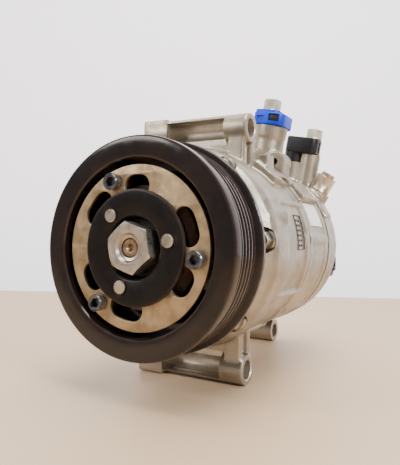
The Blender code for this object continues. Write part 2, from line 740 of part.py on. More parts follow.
def port_block(name, base, centre, size, heights, lean=PORT_LEAN):
    """A block with rounded corners, square to a port's axis; size is across and along."""
    across, along = size[0] / 2, size[1] / 2
    radius = min(size) * 0.3
    builder = bmesh.new()
    bmesh.ops.create_cube(builder, size=1.0)
    mesh = bpy.data.meshes.new(name)
    builder.to_mesh(mesh)
    builder.free()
    low = port_point(base, centre[0] - across, centre[1] - along, heights[0], lean)
    side = port_point(base, centre[0] + across, centre[1] - along, heights[0], lean) - low
    back = port_point(base, centre[0] - across, centre[1] + along, heights[0], lean) - low
    rise = port_point(base, centre[0] - across, centre[1] - along, heights[1], lean) - low
    frame = Matrix((side.normalized(), back.normalized(), rise.normalized())).transposed()
    size_matrix = Matrix.Diagonal((side.length, back.length, rise.length)).to_4x4()
    middle = low + (side + back + rise) / 2
    obj = new_object(name, mesh)
    mesh.transform(size_matrix)
    if frame.determinant() < 0:
        frame = Matrix((back.normalized(), side.normalized(), rise.normalized())).transposed()
        mesh.transform(Matrix.Rotation(math.radians(90), 4, "Z"))
    bevel = obj.modifiers.new("Corners", "BEVEL")
    bevel.width = radius * MM
    bevel.segments = 3
    bevel.limit_method = "WEIGHT"
    weights = mesh.attributes.new("bevel_weight_edge", "FLOAT", "EDGE")
    for edge, weight in zip(mesh.edges, weights.data):
        ends = [mesh.vertices[index].co for index in edge.vertices]
        weight.value = 1.0 if abs(ends[0].z - ends[1].z) > rise.length / 2 else 0.0
    bake(obj)
    obj.data.transform(Matrix.Translation(middle) @ frame.to_4x4())
    return obj


def suction_cap():
    top = 22.5 + GAP
    cap = port_block("suction_cap", SUCTION_PORT, (0, 1), (22.0, 24.0), (top, top + CAP_HEIGHT))
    plug = rod("plug", port_point(SUCTION_PORT, 0, 0, 14), port_point(SUCTION_PORT, 0, 0, top + 2), 6.0, 20)
    return cut(join(cap, plug),
               rod("hole", port_point(SUCTION_PORT, -1.5, -1, 15),
                   port_point(SUCTION_PORT, -1.5, -1, top + 14), 3.3, FINE))


def suction_cap_bolt():
    top = 22.5 + GAP + CAP_HEIGHT + GAP

    def spot(height):
        return port_point(SUCTION_PORT, -1.5, -1, height)

    return join(rod("suction_cap_bolt", spot(top), spot(top + 7.6), 5.8, 6),
                rod("shank", spot(18), spot(top + 1), 3.0, FINE))


def discharge_cap():
    top = 18.5 + GAP
    cap = port_block("discharge_cap", DISCHARGE_PORT, (5.5, 1), (23.5, 18.0), (top, top + 11.5))
    plug = rod("plug", port_point(DISCHARGE_PORT, 0, 0, 10), port_point(DISCHARGE_PORT, 0, 0, top + 2),
               4.7, 16)
    return cut(join(cap, plug),
               rod("hole", port_point(DISCHARGE_PORT, 12, 2, 8),
                   port_point(DISCHARGE_PORT, 12, 2, top + 14), 3.3, FINE))


def discharge_cap_bolt():
    top = 18.5 + GAP + 11.5 + GAP

    def spot(height):
        return port_point(DISCHARGE_PORT, 12, 2, height)

    return join(rod("discharge_cap_bolt", spot(top), spot(top + 7.0), 5.8, 6),
                rod("shank", spot(5), spot(top + 1), 3.0, FINE))


def relief_valve():
    def spot(height):
        return port_point(RELIEF_SEAT, 0, 0, height, RELIEF_LEAN)

    return join(rod("relief_valve", spot(0), spot(2.6), 7.6),
                rod("hex", spot(2), spot(13.5), 7.2, 6),
                rod("tip", spot(13), spot(16.0), 5.2, 16, end_radius=4.6),
                rod("thread", spot(-11), spot(1), 4.3, 16))


def control_valve():
    """The solenoid valve that sets the crankcase pressure, with its plug moulded on."""
    up, station, radius = CONTROL_VALVE
    seat = VALVE_FACE + GAP
    body = rod("control_valve", at(10.0, up, station), at(seat + 0.5, up, station), radius - GAP)
    join(body, rod("head", at(seat, up, station), at(seat + 3.2, up, station), 8.6),
         box("connector", (seat + 0.5, up - 4.5, station - 4.0), (seat + 5.7, up + 6.5, station + 4.0)))
    return cut(body, rod("spool_bore", at(8.0, up, station), at(seat - 4, up, station), 2.6, 16))


def control_valve_spool():
    up, station, radius = CONTROL_VALVE
    return rod("control_valve_spool", at(11.0, up, station), at(38.0, up, station), 2.2, FINE)


def label():
    """A small blank sticker, curved to the block."""
    strip = turned("label", [(BLOCK_FRONT + 5, BODY_RADIUS + 0.3), (BLOCK_FRONT + 5, BODY_RADIUS + 0.6),
                             (BLOCK_REAR - 8, BODY_RADIUS + 0.6), (BLOCK_REAR - 8, BODY_RADIUS + 0.3)], 72)
    window = box("window", (BODY_RADIUS - 15.6, -11.0, BLOCK_FRONT),
                 (BODY_RADIUS + 4.4, 11.0, BLOCK_REAR), 19.0)
    return combine(strip, window, "INTERSECT")


# ---------------------------------------------------------------- assembly

def main():
    clear_scene()
    assembly = new_collection("ac_compressor")
    fixed = shaft_empty("casing_frame", assembly)
    rotor = shaft_empty("rotor_frame", assembly)

    cast = finish_colour("cast_aluminium", (0.66, 0.64, 0.60), 0.45, 1.0)
    steel = finish_colour("bright_steel", (0.60, 0.57, 0.52), 0.32, 1.0)
    dark = finish_colour("black_steel", (0.018, 0.015, 0.014), 0.30, 0.6)
    satin = finish_colour("black_disc", (0.02, 0.018, 0.018), 0.42, 0.3)
    zinc = finish_colour("yellow_zinc", (0.50, 0.38, 0.22), 0.40, 0.9)
    rubber = finish_colour("seal_rubber", (0.02, 0.02, 0.02), 0.7, 0.0)
    blue = finish_colour("blue_plastic", (0.01, 0.09, 0.62), 0.35, 0.0)
    black = finish_colour("black_plastic", (0.02, 0.02, 0.022), 0.5, 0.0)
    plated = finish_colour("plated_bolt", (0.62, 0.60, 0.48), 0.35, 1.0)
    paper = finish_colour("white_label", (0.82, 0.82, 0.80), 0.6, 0.0)

    turning = [
        (pulley(), dark), (bearing_outer_ring(), steel), (bearing_ball_cage(), steel),
        (damper_plate(), zinc), (centre_disc(), satin), (hub(), steel), (shaft(), steel),
        (lug_plate(), steel), (hinge_pin(), steel), (swash_plate(), steel), (return_spring(), steel)]
    for number, turn in enumerate(thirds(SCREW_TURN), 1):
        turning.append((plate_screw(number, turn), dark))
    for number, turn in enumerate(thirds(RIVET_TURN), 1):
        turning.append((rivet(number, turn), steel))
    for obj, material in turning:
        place(obj, rotor, assembly, material)

    still = [
        (front_housing(), cast), (front_gasket(), rubber), (cylinder_block(), cast),
        (rear_gasket(), steel), (valve_plate(), steel), (rear_housing(), cast),
        (bearing_inner_ring(), steel), (bearing_snap_ring(), steel), (shaft_seal(), rubber),
        (front_radial_bearing(), steel), (front_thrust_bearing(), steel),
        (rear_radial_bearing(), steel), (suction_cap(), blue), (suction_cap_bolt(), plated),
        (discharge_cap(), black), (discharge_cap_bolt(), plated), (relief_valve(), steel),
        (control_valve(), black), (control_valve_spool(), steel), (label(), paper)]
    for number, turn in enumerate(bolt_turns(), 1):
        still.append((through_bolt(number, turn), plated))
    for number, turn in enumerate(cylinder_turns(), 1):
        still.append((piston(number, turn), steel))
    for obj, material in still:
        place(obj, fixed, assembly, material)


main()
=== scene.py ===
"""Belt-driven, clutchless air-conditioning compressor, finished for a studio picture.

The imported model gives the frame. Each sub-assembly here builds the fine outer shapes over its
nodes and gives every node a finish. Lengths are millimetres until Shaft turns them into metres.
A station is a distance along the shaft, measured back from the pulley's front face.
"""

import logging
import math
from dataclasses import dataclass, field
from enum import Enum

import bmesh
import bpy
from mathutils import Matrix, Vector


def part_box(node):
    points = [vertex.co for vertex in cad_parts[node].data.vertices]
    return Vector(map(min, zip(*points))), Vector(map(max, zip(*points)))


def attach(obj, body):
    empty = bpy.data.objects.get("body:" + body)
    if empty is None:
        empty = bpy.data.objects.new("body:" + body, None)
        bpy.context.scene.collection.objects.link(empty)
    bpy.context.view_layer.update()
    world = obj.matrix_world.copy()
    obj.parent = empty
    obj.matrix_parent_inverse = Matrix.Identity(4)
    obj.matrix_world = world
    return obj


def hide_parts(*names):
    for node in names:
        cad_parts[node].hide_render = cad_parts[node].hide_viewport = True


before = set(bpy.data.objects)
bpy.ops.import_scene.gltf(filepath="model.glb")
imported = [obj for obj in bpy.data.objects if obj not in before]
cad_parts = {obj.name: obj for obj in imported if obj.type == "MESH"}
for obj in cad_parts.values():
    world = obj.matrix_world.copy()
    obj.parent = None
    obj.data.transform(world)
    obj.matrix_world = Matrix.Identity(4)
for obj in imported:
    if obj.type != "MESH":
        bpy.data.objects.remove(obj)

MM = 0.001
FULL_TURN = 360.0
BEARING_ENDS = (11.3, 31.0)
LOG = logging.getLogger("compressor")

Profile = list[tuple[float, float]]
Outline = list[tuple[float, float]]


class Body(Enum):
    """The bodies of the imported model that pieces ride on."""

    CASING = "casing"
    ROTOR = "rotor"


class Solver(Enum):
    """How a Boolean is worked out."""

    QUICK = "MANIFOLD"
    CAREFUL = "EXACT"


# ---------------------------------------------------------------- finishes


@dataclass(frozen=True)
class Finish:
    """A procedural surface: two tones, a roughness range, and a fine relief.

    Attributes:
        name: The material's name.
        light: The main tone.
        dark: The tone that mottles it.
        metallic: Metalness, from 0 to 1.
        rough: Lowest and highest roughness.
        patches: How many tone patches there are in a metre.
        grains: How many relief grains there are in a metre.
        relief: Strength of the relief, from 0 to 1.
        lathe: Whether the relief runs in turned rings round the shaft.
        gloss: Strength of the reflection of a surface that isn't metal.
        edge: The lighter tone painted on sharp outer edges, partly wear and partly a painted edge highlight,
            or None.
    """

    name: str
    light: tuple[float, float, float]
    dark: tuple[float, float, float]
    metallic: float = 0.0
    rough: tuple[float, float] = (0.35, 0.55)
    patches: float = 60.0
    grains: float = 900.0
    relief: float = 0.2
    lathe: bool = False
    gloss: float = 0.5
    edge: tuple[float, float, float] | None = None

    def material(self, shaft: "Shaft") -> bpy.types.Material:
        """Gives the finish's material, made once.

        Args:
            shaft: Where the shaft lies, for turned rings.

        Returns:
            The material.
        """
        found = bpy.data.materials.get(self.name)
        if found:
            return found
        made = bpy.data.materials.new(self.name)
        made.use_nodes = True
        tree = made.node_tree
        shader = tree.nodes["Principled BSDF"]
        shader.inputs["Metallic"].default_value = self.metallic
        shader.inputs["Specular IOR Level"].default_value = self.gloss
        place = tree.nodes.new("ShaderNodeTexCoord").outputs["Object"]
        patch = self.noise(tree, place, self.patches, 4.0)
        tone = tree.nodes.new("ShaderNodeValToRGB")
        tone.color_ramp.elements[0].position = 0.36
        tone.color_ramp.elements[0].color = (*self.dark, 1.0)
        tone.color_ramp.elements[1].position = 0.62
        tone.color_ramp.elements[1].color = (*self.light, 1.0)
        tree.links.new(patch, tone.inputs["Fac"])
        colour = tone.outputs["Color"]
        # Lighter tone on sharp edges: partly wear, partly a painted edge highlight.
        if self.edge:
            colour = self.edge_wear_and_highlight(tree, place, colour)
        tree.links.new(colour, shader.inputs["Base Color"])
        sheen = tree.nodes.new("ShaderNodeMapRange")
        sheen.inputs["From Min"].default_value = 0.3
        sheen.inputs["From Max"].default_value = 0.7
        sheen.inputs["To Min"].default_value = self.rough[1]
        sheen.inputs["To Max"].default_value = self.rough[0]
        smear = self.noise(tree, place, self.patches * 3.7, 3.0)
        tree.links.new(smear, sheen.inputs["Value"])
        tree.links.new(sheen.outputs["Result"], shader.inputs["Roughness"])
        grain = self.noise(tree, self.rings(tree, place, shaft) if self.lathe else place,
                           self.grains, 2.0)
        bump = tree.nodes.new("ShaderNodeBump")
        bump.inputs["Strength"].default_value = self.relief
        bump.inputs["Distance"].default_value = 0.25 * MM
        tree.links.new(grain, bump.inputs["Height"])
        tree.links.new(bump.outputs["Normal"], shader.inputs["Normal"])
        return made

    def noise(self, tree: bpy.types.NodeTree, place: bpy.types.NodeSocket, scale: float,
              detail: float) -> bpy.types.NodeSocket:
        """Adds one noise texture.

        Args:
            tree: The node tree.
            place: The coordinates that it reads.
            scale: Its scale, per metre.
            detail: Its octaves.

        Returns:
            The noise's value socket.
        """
        node = tree.nodes.new("ShaderNodeTexNoise")
        node.inputs["Scale"].default_value = scale
        node.inputs["Detail"].default_value = detail
        tree.links.new(place, node.inputs["Vector"])
        return node.outputs["Fac"]

    def rings(self, tree: bpy.types.NodeTree, place: bpy.types.NodeSocket,
              shaft: "Shaft") -> bpy.types.NodeSocket:
        """Turns places into (distance from the shaft, along the shaft), for lathe marks.

        Args:
            tree: The node tree.
            place: The coordinates to start from.
            shaft: Where the shaft lies.

        Returns:
            The new coordinates.
        """
        centre = tree.nodes.new("ShaderNodeVectorMath")
        centre.operation = "SUBTRACT"
        centre.inputs[1].default_value = (0.0, 0.0, shaft.height)
        tree.links.new(place, centre.inputs[0])
        split = tree.nodes.new("ShaderNodeSeparateXYZ")
        tree.links.new(centre.outputs["Vector"], split.inputs["Vector"])
        flat = tree.nodes.new("ShaderNodeCombineXYZ")
        tree.links.new(split.outputs["X"], flat.inputs["X"])
        tree.links.new(split.outputs["Z"], flat.inputs["Y"])
        reach = tree.nodes.new("ShaderNodeVectorMath")
        reach.operation = "LENGTH"
        tree.links.new(flat.outputs["Vector"], reach.inputs[0])
        ring = tree.nodes.new("ShaderNodeCombineXYZ")
        tree.links.new(reach.outputs["Value"], ring.inputs["X"])
        tree.links.new(split.outputs["Y"], ring.inputs["Y"])
        return ring.outputs["Vector"]

    def edge_wear_and_highlight(self, tree: bpy.types.NodeTree, place: bpy.types.NodeSocket,
             colour: bpy.types.NodeSocket) -> bpy.types.NodeSocket:
        """Mixes the lighter edge tone in along sharp outer edges: partly wear, partly a painted edge
        highlight.

        Args:
            tree: The node tree.
            place: The coordinates that break the painted wear and highlight up.
            colour: The tone under the painted wear and highlight.

        Returns:
            The mixed colour.
        """
        form = tree.nodes.new("ShaderNodeNewGeometry")
        ridge = tree.nodes.new("ShaderNodeMapRange")
        ridge.inputs["From Min"].default_value = 0.52
        ridge.inputs["From Max"].default_value = 0.62
        tree.links.new(form.outputs["Pointiness"], ridge.inputs["Value"])
        broken = tree.nodes.new("ShaderNodeMath")
        broken.operation = "MULTIPLY"
        tree.links.new(ridge.outputs["Result"], broken.inputs[0])
        tree.links.new(self.noise(tree, place, 220.0, 3.0), broken.inputs[1])
        mix = tree.nodes.new("ShaderNodeMix")
        mix.data_type = "RGBA"
        colours = [socket for socket in mix.inputs if socket.type == "RGBA"]
        colours[1].default_value = (*self.edge, 1.0)
        tree.links.new(broken.outputs["Value"], mix.inputs["Factor"])
        tree.links.new(colour, colours[0])
        return [socket for socket in mix.outputs if socket.type == "RGBA"][0]


# The edge tones below are painted on sharp outer edges: partly wear, partly painted edge highlights such as
# the pulley's rim and the screws' rims.
CAST = Finish("cast aluminium", (0.37, 0.325, 0.26), (0.29, 0.25, 0.195), 0.85, (0.3, 0.46),
              75.0, 1500.0, 0.55, edge=(0.68, 0.63, 0.55))
MACHINED = Finish("machined aluminium", (0.66, 0.63, 0.58), (0.52, 0.48, 0.43), 0.95, (0.22, 0.36),
                  90.0, 1400.0, 0.12)
E_COAT = Finish("black pulley coat", (0.010, 0.0055, 0.004), (0.005, 0.003, 0.0025), 0.0, (0.09, 0.2),
                50.0, 900.0, 0.05, lathe=True, gloss=0.34, edge=(0.16, 0.10, 0.08))
SATIN = Finish("black disc coat", (0.007, 0.005, 0.0045), (0.004, 0.003, 0.003), 0.0, (0.28, 0.42),
               80.0, 1200.0, 0.12, gloss=0.16, edge=(0.15, 0.10, 0.08))
ZINC = Finish("yellow zinc", (0.36, 0.27, 0.16), (0.23, 0.165, 0.095), 0.78, (0.36, 0.54),
              150.0, 1700.0, 0.3, edge=(0.52, 0.42, 0.30))
STEEL = Finish("ground steel", (0.44, 0.40, 0.34), (0.29, 0.25, 0.20), 0.95, (0.26, 0.42),
               120.0, 1500.0, 0.16)
BROWN = Finish("oiled steel", (0.30, 0.20, 0.13), (0.15, 0.10, 0.06), 0.85, (0.3, 0.48),
               260.0, 1500.0, 0.2, lathe=True)
BLACK_STEEL = Finish("black screw steel", (0.10, 0.105, 0.115), (0.035, 0.036, 0.04), 0.9,
                     (0.2, 0.34), 300.0, 1600.0, 0.12, edge=(0.55, 0.56, 0.58))
ETCHED = Finish("etched field", (0.10, 0.085, 0.065), (0.06, 0.05, 0.04), 0.3, (0.5, 0.65),
                300.0, 1600.0, 0.12)
PLATED = Finish("plated bolt steel", (0.56, 0.52, 0.41), (0.40, 0.36, 0.27), 0.85, (0.3, 0.48),
                200.0, 1500.0, 0.18)
RELIEF = Finish("relief valve steel", (0.56, 0.45, 0.33), (0.38, 0.28, 0.19), 0.9, (0.26, 0.42),
                180.0, 1300.0, 0.15)
BLUE = Finish("blue plastic", (0.001, 0.042, 0.60), (0.001, 0.028, 0.45), 0.0, (0.32, 0.46),
              90.0, 1300.0, 0.1, gloss=0.3)
BLACK = Finish("black plastic", (0.008, 0.0075, 0.009), (0.004, 0.004, 0.0045), 0.0, (0.36, 0.52),
               120.0, 1500.0, 0.2, gloss=0.3)
RUBBER = Finish("seal rubber", (0.02, 0.02, 0.02), (0.012, 0.012, 0.012), 0.0, (0.6, 0.75),
                120.0, 1200.0, 0.2)
PAPER = Finish("label paper", (0.80, 0.79, 0.76), (0.72, 0.71, 0.68), 0.0, (0.5, 0.62),
               90.0, 2200.0, 0.06)


# ---------------------------------------------------------------- placing and mesh work


@dataclass(frozen=True)
class Shaft:
    """Where the shaft lies in the frame.

    Attributes:
        height: Height of the shaft above the floor, in metres.
        front: The y of station 0, in metres.
    """

    height: float
    front: float

    @classmethod
    def from_frame(cls) -> "Shaft":
        """Reads the shaft's place off the pulley's box."""
        low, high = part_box("pulley")
        return cls((low.z + high.z) / 2, low.y)

    def at(self, x: float, up: float, station: float) -> Vector:
        """Turns a place in millimetres into metres.

        Args:
            x: Across, to the right seen from the front.
            up: Above the shaft.
            station: Behind the pulley's front face.

        Returns:
            The place in the frame.
        """
        return Vector((x * MM, self.front + station * MM, self.height + up * MM))

    def around(self, radius: float, degrees: float, station: float) -> Vector:
        """Gives a place by its radius and its turn from +x."""
        turn = math.radians(degrees)
        return self.at(radius * math.cos(turn), radius * math.sin(turn), station)

    def station(self, y: float) -> float:
        """Gives the station of a y in metres."""
        return (y - self.front) / MM


def adopt(name: str, mesh: bpy.types.Mesh) -> bpy.types.Object:
    """Puts a mesh in the scene as an object of its own.

    Args:
        name: The object's name.
        mesh: Its mesh.

    Returns:
        The object.
    """
    made = bpy.data.objects.new(name, mesh)
    bpy.context.scene.collection.objects.link(made)
    return made


def from_builder(name: str, builder: bmesh.types.BMesh) -> bpy.types.Object:
    """Turns a bmesh into an object whose faces all point outwards.

    Args:
        name: The object's name.
        builder: The bmesh, which is freed.

    Returns:
        The object.
    """
    bmesh.ops.recalc_face_normals(builder, faces=builder.faces)
    mesh = bpy.data.meshes.new(name)
    builder.to_mesh(mesh)
    builder.free()
    return adopt(name, mesh)


def bake(obj: bpy.types.Object) -> bpy.types.Object:
    """Applies an object's modifiers, or turns a curve into a mesh.

    Args:
        obj: The object.

    Returns:
        A mesh object of the same name.
    """
    bpy.context.view_layer.update()
    graph = bpy.context.evaluated_depsgraph_get()
    mesh = bpy.data.meshes.new_from_object(obj.evaluated_get(graph))
    name = obj.name
    if obj.type == "MESH":
        obj.modifiers.clear()
        obj.data = mesh
        return obj
    mesh.transform(obj.matrix_world)
    bpy.data.objects.remove(obj)
    builder = bmesh.new()
    builder.from_mesh(mesh)
    bmesh.ops.remove_doubles(builder, verts=builder.verts, dist=0.000005)
    return from_builder(name, builder)


def combine(obj: bpy.types.Object, tool: bpy.types.Object, operation: str,
            solver: Solver = Solver.QUICK) -> bpy.types.Object:
    """Applies one Boolean and removes its tool.

    Args:
        obj: The object that is kept.
        tool: The other object.
        operation: UNION, DIFFERENCE or INTERSECT.
        solver: How to work it out first. The careful way follows if nothing came of it.

    Returns:
        The object.
    """
    before = obj.data
    for attempt in dict.fromkeys((solver, Solver.CAREFUL)):
        obj.data = before
        modifier = obj.modifiers.new(operation.title(), "BOOLEAN")
        modifier.operation, modifier.object, modifier.solver = operation, tool, attempt.value
        bake(obj)
        idle = operation == "DIFFERENCE" and len(obj.data.polygons) == len(before.polygons)
        if obj.data.polygons and not idle:
            break
    bpy.data.objects.remove(tool)
    return obj


def cut(obj: bpy.types.Object, *tools: bpy.types.Object) -> bpy.types.Object:
    """Cuts each tool out of an object."""
    for tool in tools:
        combine(obj, tool, "DIFFERENCE")
    return obj


def join(obj: bpy.types.Object, *tools: bpy.types.Object) -> bpy.types.Object:
    """Unites an object with each tool."""
    for tool in tools:
        combine(obj, tool, "UNION")
    return obj


def soften(obj: bpy.types.Object, width: float, segments: int = 2,
           angle: float = 30.0) -> bpy.types.Object:
    """Rounds an object's edges.

    Args:
        obj: The object.
        width: The rounding's width, in millimetres.
        segments: Its steps.
        angle: The sharpest turn that stays as it is, in degrees.

    Returns:
        The object.
    """
    bevel = obj.modifiers.new("Edges", "BEVEL")
    bevel.width = width * MM
    bevel.segments = segments
    bevel.limit_method = "ANGLE"
    bevel.angle_limit = math.radians(angle)
    bevel.use_clamp_overlap = True
    return bake(obj)


def cast(name: str, pieces: list[bpy.types.Object], voxel: float = 0.8,
         passes: int = 7) -> bpy.types.Object:
    """Melts pieces into one casting, with fillets where they meet.

    Args:
        name: The casting's name.
        pieces: The overlapping pieces.
        voxel: Size of the cells that it is rebuilt from, in millimetres.
        passes: How often it is smoothed.

    Returns:
        The casting.
    """
    builder = bmesh.new()
    for piece in pieces:
        builder.from_mesh(piece.data)
        bpy.data.objects.remove(piece)
    made = from_builder(name, builder)
    remesh = made.modifiers.new("Melt", "REMESH")
    remesh.mode = "VOXEL"
    remesh.voxel_size = voxel * MM
    smooth = made.modifiers.new("Fillets", "SMOOTH")
    smooth.factor = 0.5
    smooth.iterations = passes
    return bake(made)


def polar(radius: float, degrees: float) -> tuple[float, float]:
    """Gives (x, up) for a radius and a turn."""
    turn = math.radians(degrees)
    return radius * math.cos(turn), radius * math.sin(turn)


def circle(radius: float, steps: int, centre: tuple[float, float] = (0.0, 0.0)) -> Outline:
    """Gives a round outline."""
    turns = [math.tau * i / steps for i in range(steps)]
    return [(centre[0] + radius * math.cos(t), centre[1] + radius * math.sin(t)) for t in turns]


@dataclass(frozen=True)
class Workshop:
    """Makes shapes along one shaft.

    Attributes:
        shaft: The shaft.
    """

    shaft: Shaft

    def lathe(self, name: str, profile: Profile, steps: int = 144) -> bpy.types.Object:
        """Turns a closed loop of (station, radius) points about the shaft.

        Args:
            name: The object's name.
            profile: The loop.
            steps: Its sides.

        Returns:
            The turned object.
        """
        builder = bmesh.new()
        rings = []
        for station, radius in profile:
            if radius == 0:
                rings.append([builder.verts.new(self.shaft.at(0, 0, station))] * steps)
            else:
                rings.append([builder.verts.new(self.shaft.around(radius, FULL_TURN * i / steps, station))
                              for i in range(steps)])
        for first, second in zip(rings, rings[1:] + rings[:1]):
            for i in range(steps):
                j = (i + 1) % steps
                corners = dict.fromkeys((first[i], first[j], second[j], second[i]))
                if len(corners) > 2:
                    builder.faces.new(list(corners))
        return from_builder(name, builder)

    def rod(self, name: str, start: Vector, end: Vector, radius: float, sides: int = 48,
            end_radius: float | None = None, turn: float = 0.0) -> bpy.types.Object:
        """Makes a round bar, cone or prism between two places.

        Args:
            name: The object's name.
            start: One end.
            end: The other end.
            radius: Its radius in millimetres.
            sides: Its sides.
            end_radius: The radius at the other end, where it differs.
            turn: Its turn about its own length, in degrees.

        Returns:
            The bar.
        """
        along = end - start
        place = Matrix.Translation((start + end) / 2) @ along.to_track_quat("Z", "X").to_matrix().to_4x4()
        builder = bmesh.new()
        bmesh.ops.create_cone(
            builder, cap_ends=True, segments=sides, radius1=radius * MM,
            radius2=(radius if end_radius is None else end_radius) * MM, depth=along.length,
            matrix=place @ Matrix.Rotation(math.radians(turn), 4, "Z"))
        return from_builder(name, builder)

    def bar(self, name: str, first: float, last: float, up: float, station: float, radius: float,
            sides: int = 48, **more: float) -> bpy.types.Object:
        """Makes a round bar that runs across, from x first to x last."""
        return self.rod(name, self.shaft.at(first, up, station), self.shaft.at(last, up, station),
                        radius, sides, **more)

    def pin(self, name: str, circle_radius: float, turn: float, front: float, rear: float,
            radius: float, sides: int = 48, **more: float) -> bpy.types.Object:
        """Makes a round bar that runs along the shaft, off its axis."""
        return self.rod(name, self.shaft.around(circle_radius, turn, front),
                        self.shaft.around(circle_radius, turn, rear), radius, sides, **more)

    def block(self, name: str, low: tuple[float, float, float], high: tuple[float, float, float],
              turn: float = 0.0) -> bpy.types.Object:
        """Makes a block between two corners, turned about the shaft.

        Args:
            name: The object's name.
            low: Its lowest (x, up, station).
            high: Its highest (x, up, station).
            turn: Its turn about the shaft, in degrees.

        Returns:
            The block.
        """
        near, far = self.shaft.at(*low), self.shaft.at(*high)
        size = Matrix.Diagonal([abs(value) for value in far - near]).to_4x4()
        axis = self.shaft.at(0, 0, 0)
        swing = (Matrix.Translation(axis) @ Matrix.Rotation(-math.radians(turn), 4, "Y")
                 @ Matrix.Translation(-axis))
        builder = bmesh.new()
        bmesh.ops.create_cube(builder, size=1.0, matrix=swing @ Matrix.Translation((near + far) / 2) @ size)
        return from_builder(name, builder)

    def slab(self, name: str, front: float, rear: float, outlines: list[Outline],
             edge: float = 0.0) -> bpy.types.Object:
        """Makes a flat sheet square to the shaft.

        Args:
            name: The object's name.
            front: Station of its front face.
            rear: Station of its rear face.
            outlines: Its edge, then its holes.
            edge: The rounding of its edges, in millimetres.

        Returns:
            The sheet.
        """
        curve = bpy.data.curves.new(name, "CURVE")
        curve.dimensions = "2D"
        curve.fill_mode = "BOTH"
        curve.extrude = ((rear - front) / 2 - edge) * MM
        curve.bevel_depth = edge * MM
        curve.bevel_resolution = 2
        curve.offset = -edge * MM
        for outline in outlines:
            spline = curve.splines.new("POLY")
            spline.points.add(len(outline) - 1)
            for point, (x, up) in zip(spline.points, outline):
                point.co = (x * MM, up * MM, 0, 1)
            spline.use_cyclic_u = True
        made = adopt(name, curve)
        made.matrix_world = (Matrix.Translation(self.shaft.at(0, 0, (front + rear) / 2))
                             @ Matrix.Rotation(math.radians(90), 4, "X"))
        return bake(made)

    def hex_bolt(self, name: str, foot: Vector, top: Vector, flange: float, corners: float,
                 flange_height: float, shank: tuple[Vector, float]) -> bpy.types.Object:
        """Makes a flanged hexagon bolt with chamfered corners.

        Args:
            name: The object's name.
            foot: Where the head seats.
            top: The head's top.
            flange: Radius of its flange.
            corners: Radius at the hexagon's corners.
            flange_height: Height of its flange.
            shank: The shank's far end, and its radius.

        Returns:
            The bolt.
        """
        up = (top - foot).normalized()
        head = self.rod(name, foot, top, corners, 6)
        low = top - up * 1.1 * MM
        trim = join(self.rod("trim", foot - up * MM, low, corners + 1.0, 48),
                    self.rod("trim_top", low - up * 0.01 * MM, top + up * 0.2 * MM, corners + 0.55,
                             end_radius=corners - 1.15))
        combine(head, trim, "INTERSECT", Solver.CAREFUL)
        collar = self.rod("collar", foot, foot + up * flange_height * MM, flange,
                          end_radius=flange - 0.7)
        end, radius = shank
        combine(head, collar, "UNION", Solver.CAREFUL)
        combine(head, self.rod("shank", foot + up * 0.5 * MM, end, radius, 24), "UNION", Solver.CAREFUL)
        dimple = self.rod("dimple", top - up * 0.5 * MM, top + up * MM, corners * 0.5, 32,
                          end_radius=corners * 0.62)
        return combine(head, dimple, "DIFFERENCE", Solver.CAREFUL)


@dataclass(frozen=True)
class Field:
    """A rectangle wrapped on the casings.

    Attributes:
        stations: Its front and rear.
        turns: Its lowest and highest turn, in degrees.
        radii: Its inner and outer radius.
    """

    stations: tuple[float, float]
    turns: tuple[float, float]
    radii: tuple[float, float]

    def add(self, builder: bmesh.types.BMesh, shaft: Shaft, steps: int = 12) -> None:
        """Adds the rectangle's closed shell to a mesh.

        Args:
            builder: The mesh that it is added to.
            shaft: Where the shaft lies.
            steps: Its steps round the shaft.
        """
        rows = []
        for i in range(steps + 1):
            turn = self.turns[0] + (self.turns[1] - self.turns[0]) * i / steps
            corners = [(self.radii[0], self.stations[0]), (self.radii[1], self.stations[0]),
                       (self.radii[1], self.stations[1]), (self.radii[0], self.stations[1])]
            rows.append([builder.verts.new(shaft.around(radius, turn, station))
                         for radius, station in corners])
        for first, second in zip(rows, rows[1:]):
            for i in range(4):
                j = (i + 1) % 4
                builder.faces.new((first[i], first[j], second[j], second[i]))
        builder.faces.new(rows[0])
        builder.faces.new(rows[-1])


@dataclass
class SubAssembly:
    """Pieces of one body that are made and dressed together.

    Attributes:
        shop: The workshop that makes the shapes.
        body: The body that they ride on.
        finishes: The finish of each node that stays as it is.
    """

    shop: Workshop
    body: Body = Body.CASING
    finishes: dict[str, Finish] = field(default_factory=dict)

    def mount(self, obj: bpy.types.Object, finish: Finish, slot: str, *nodes: str,
              angle: float = 32.0) -> bpy.types.Object:
        """Dresses a finished piece and fixes it to the body.

        Args:
            obj: The piece.
            finish: Its finish.
            slot: A slot name for the finish; it is not used.
            nodes: The nodes that it stands for.
            angle: The sharpest turn that shades smooth, in degrees.

        Returns:
            The piece.
        """
        obj.data.materials.clear()
        obj.data.materials.append(finish.material(self.shop.shaft))
        obj.data.shade_smooth()
        obj.data.set_sharp_from_angle(angle=math.radians(angle))
        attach(obj, self.body.value)
        if nodes:
            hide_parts(*nodes)
        LOG.info("%s: %d faces", obj.name, len(obj.data.polygons))
        return obj

    def dress(self) -> None:
        """Gives the nodes that stay their procedural finishes."""
        for node, finish in self.finishes.items():
            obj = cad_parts[node]
            for holder in obj.material_slots:
                holder.material = finish.material(self.shop.shaft)
            LOG.info("%s: %s", node, finish.name)


# ---------------------------------------------------------------- drive end


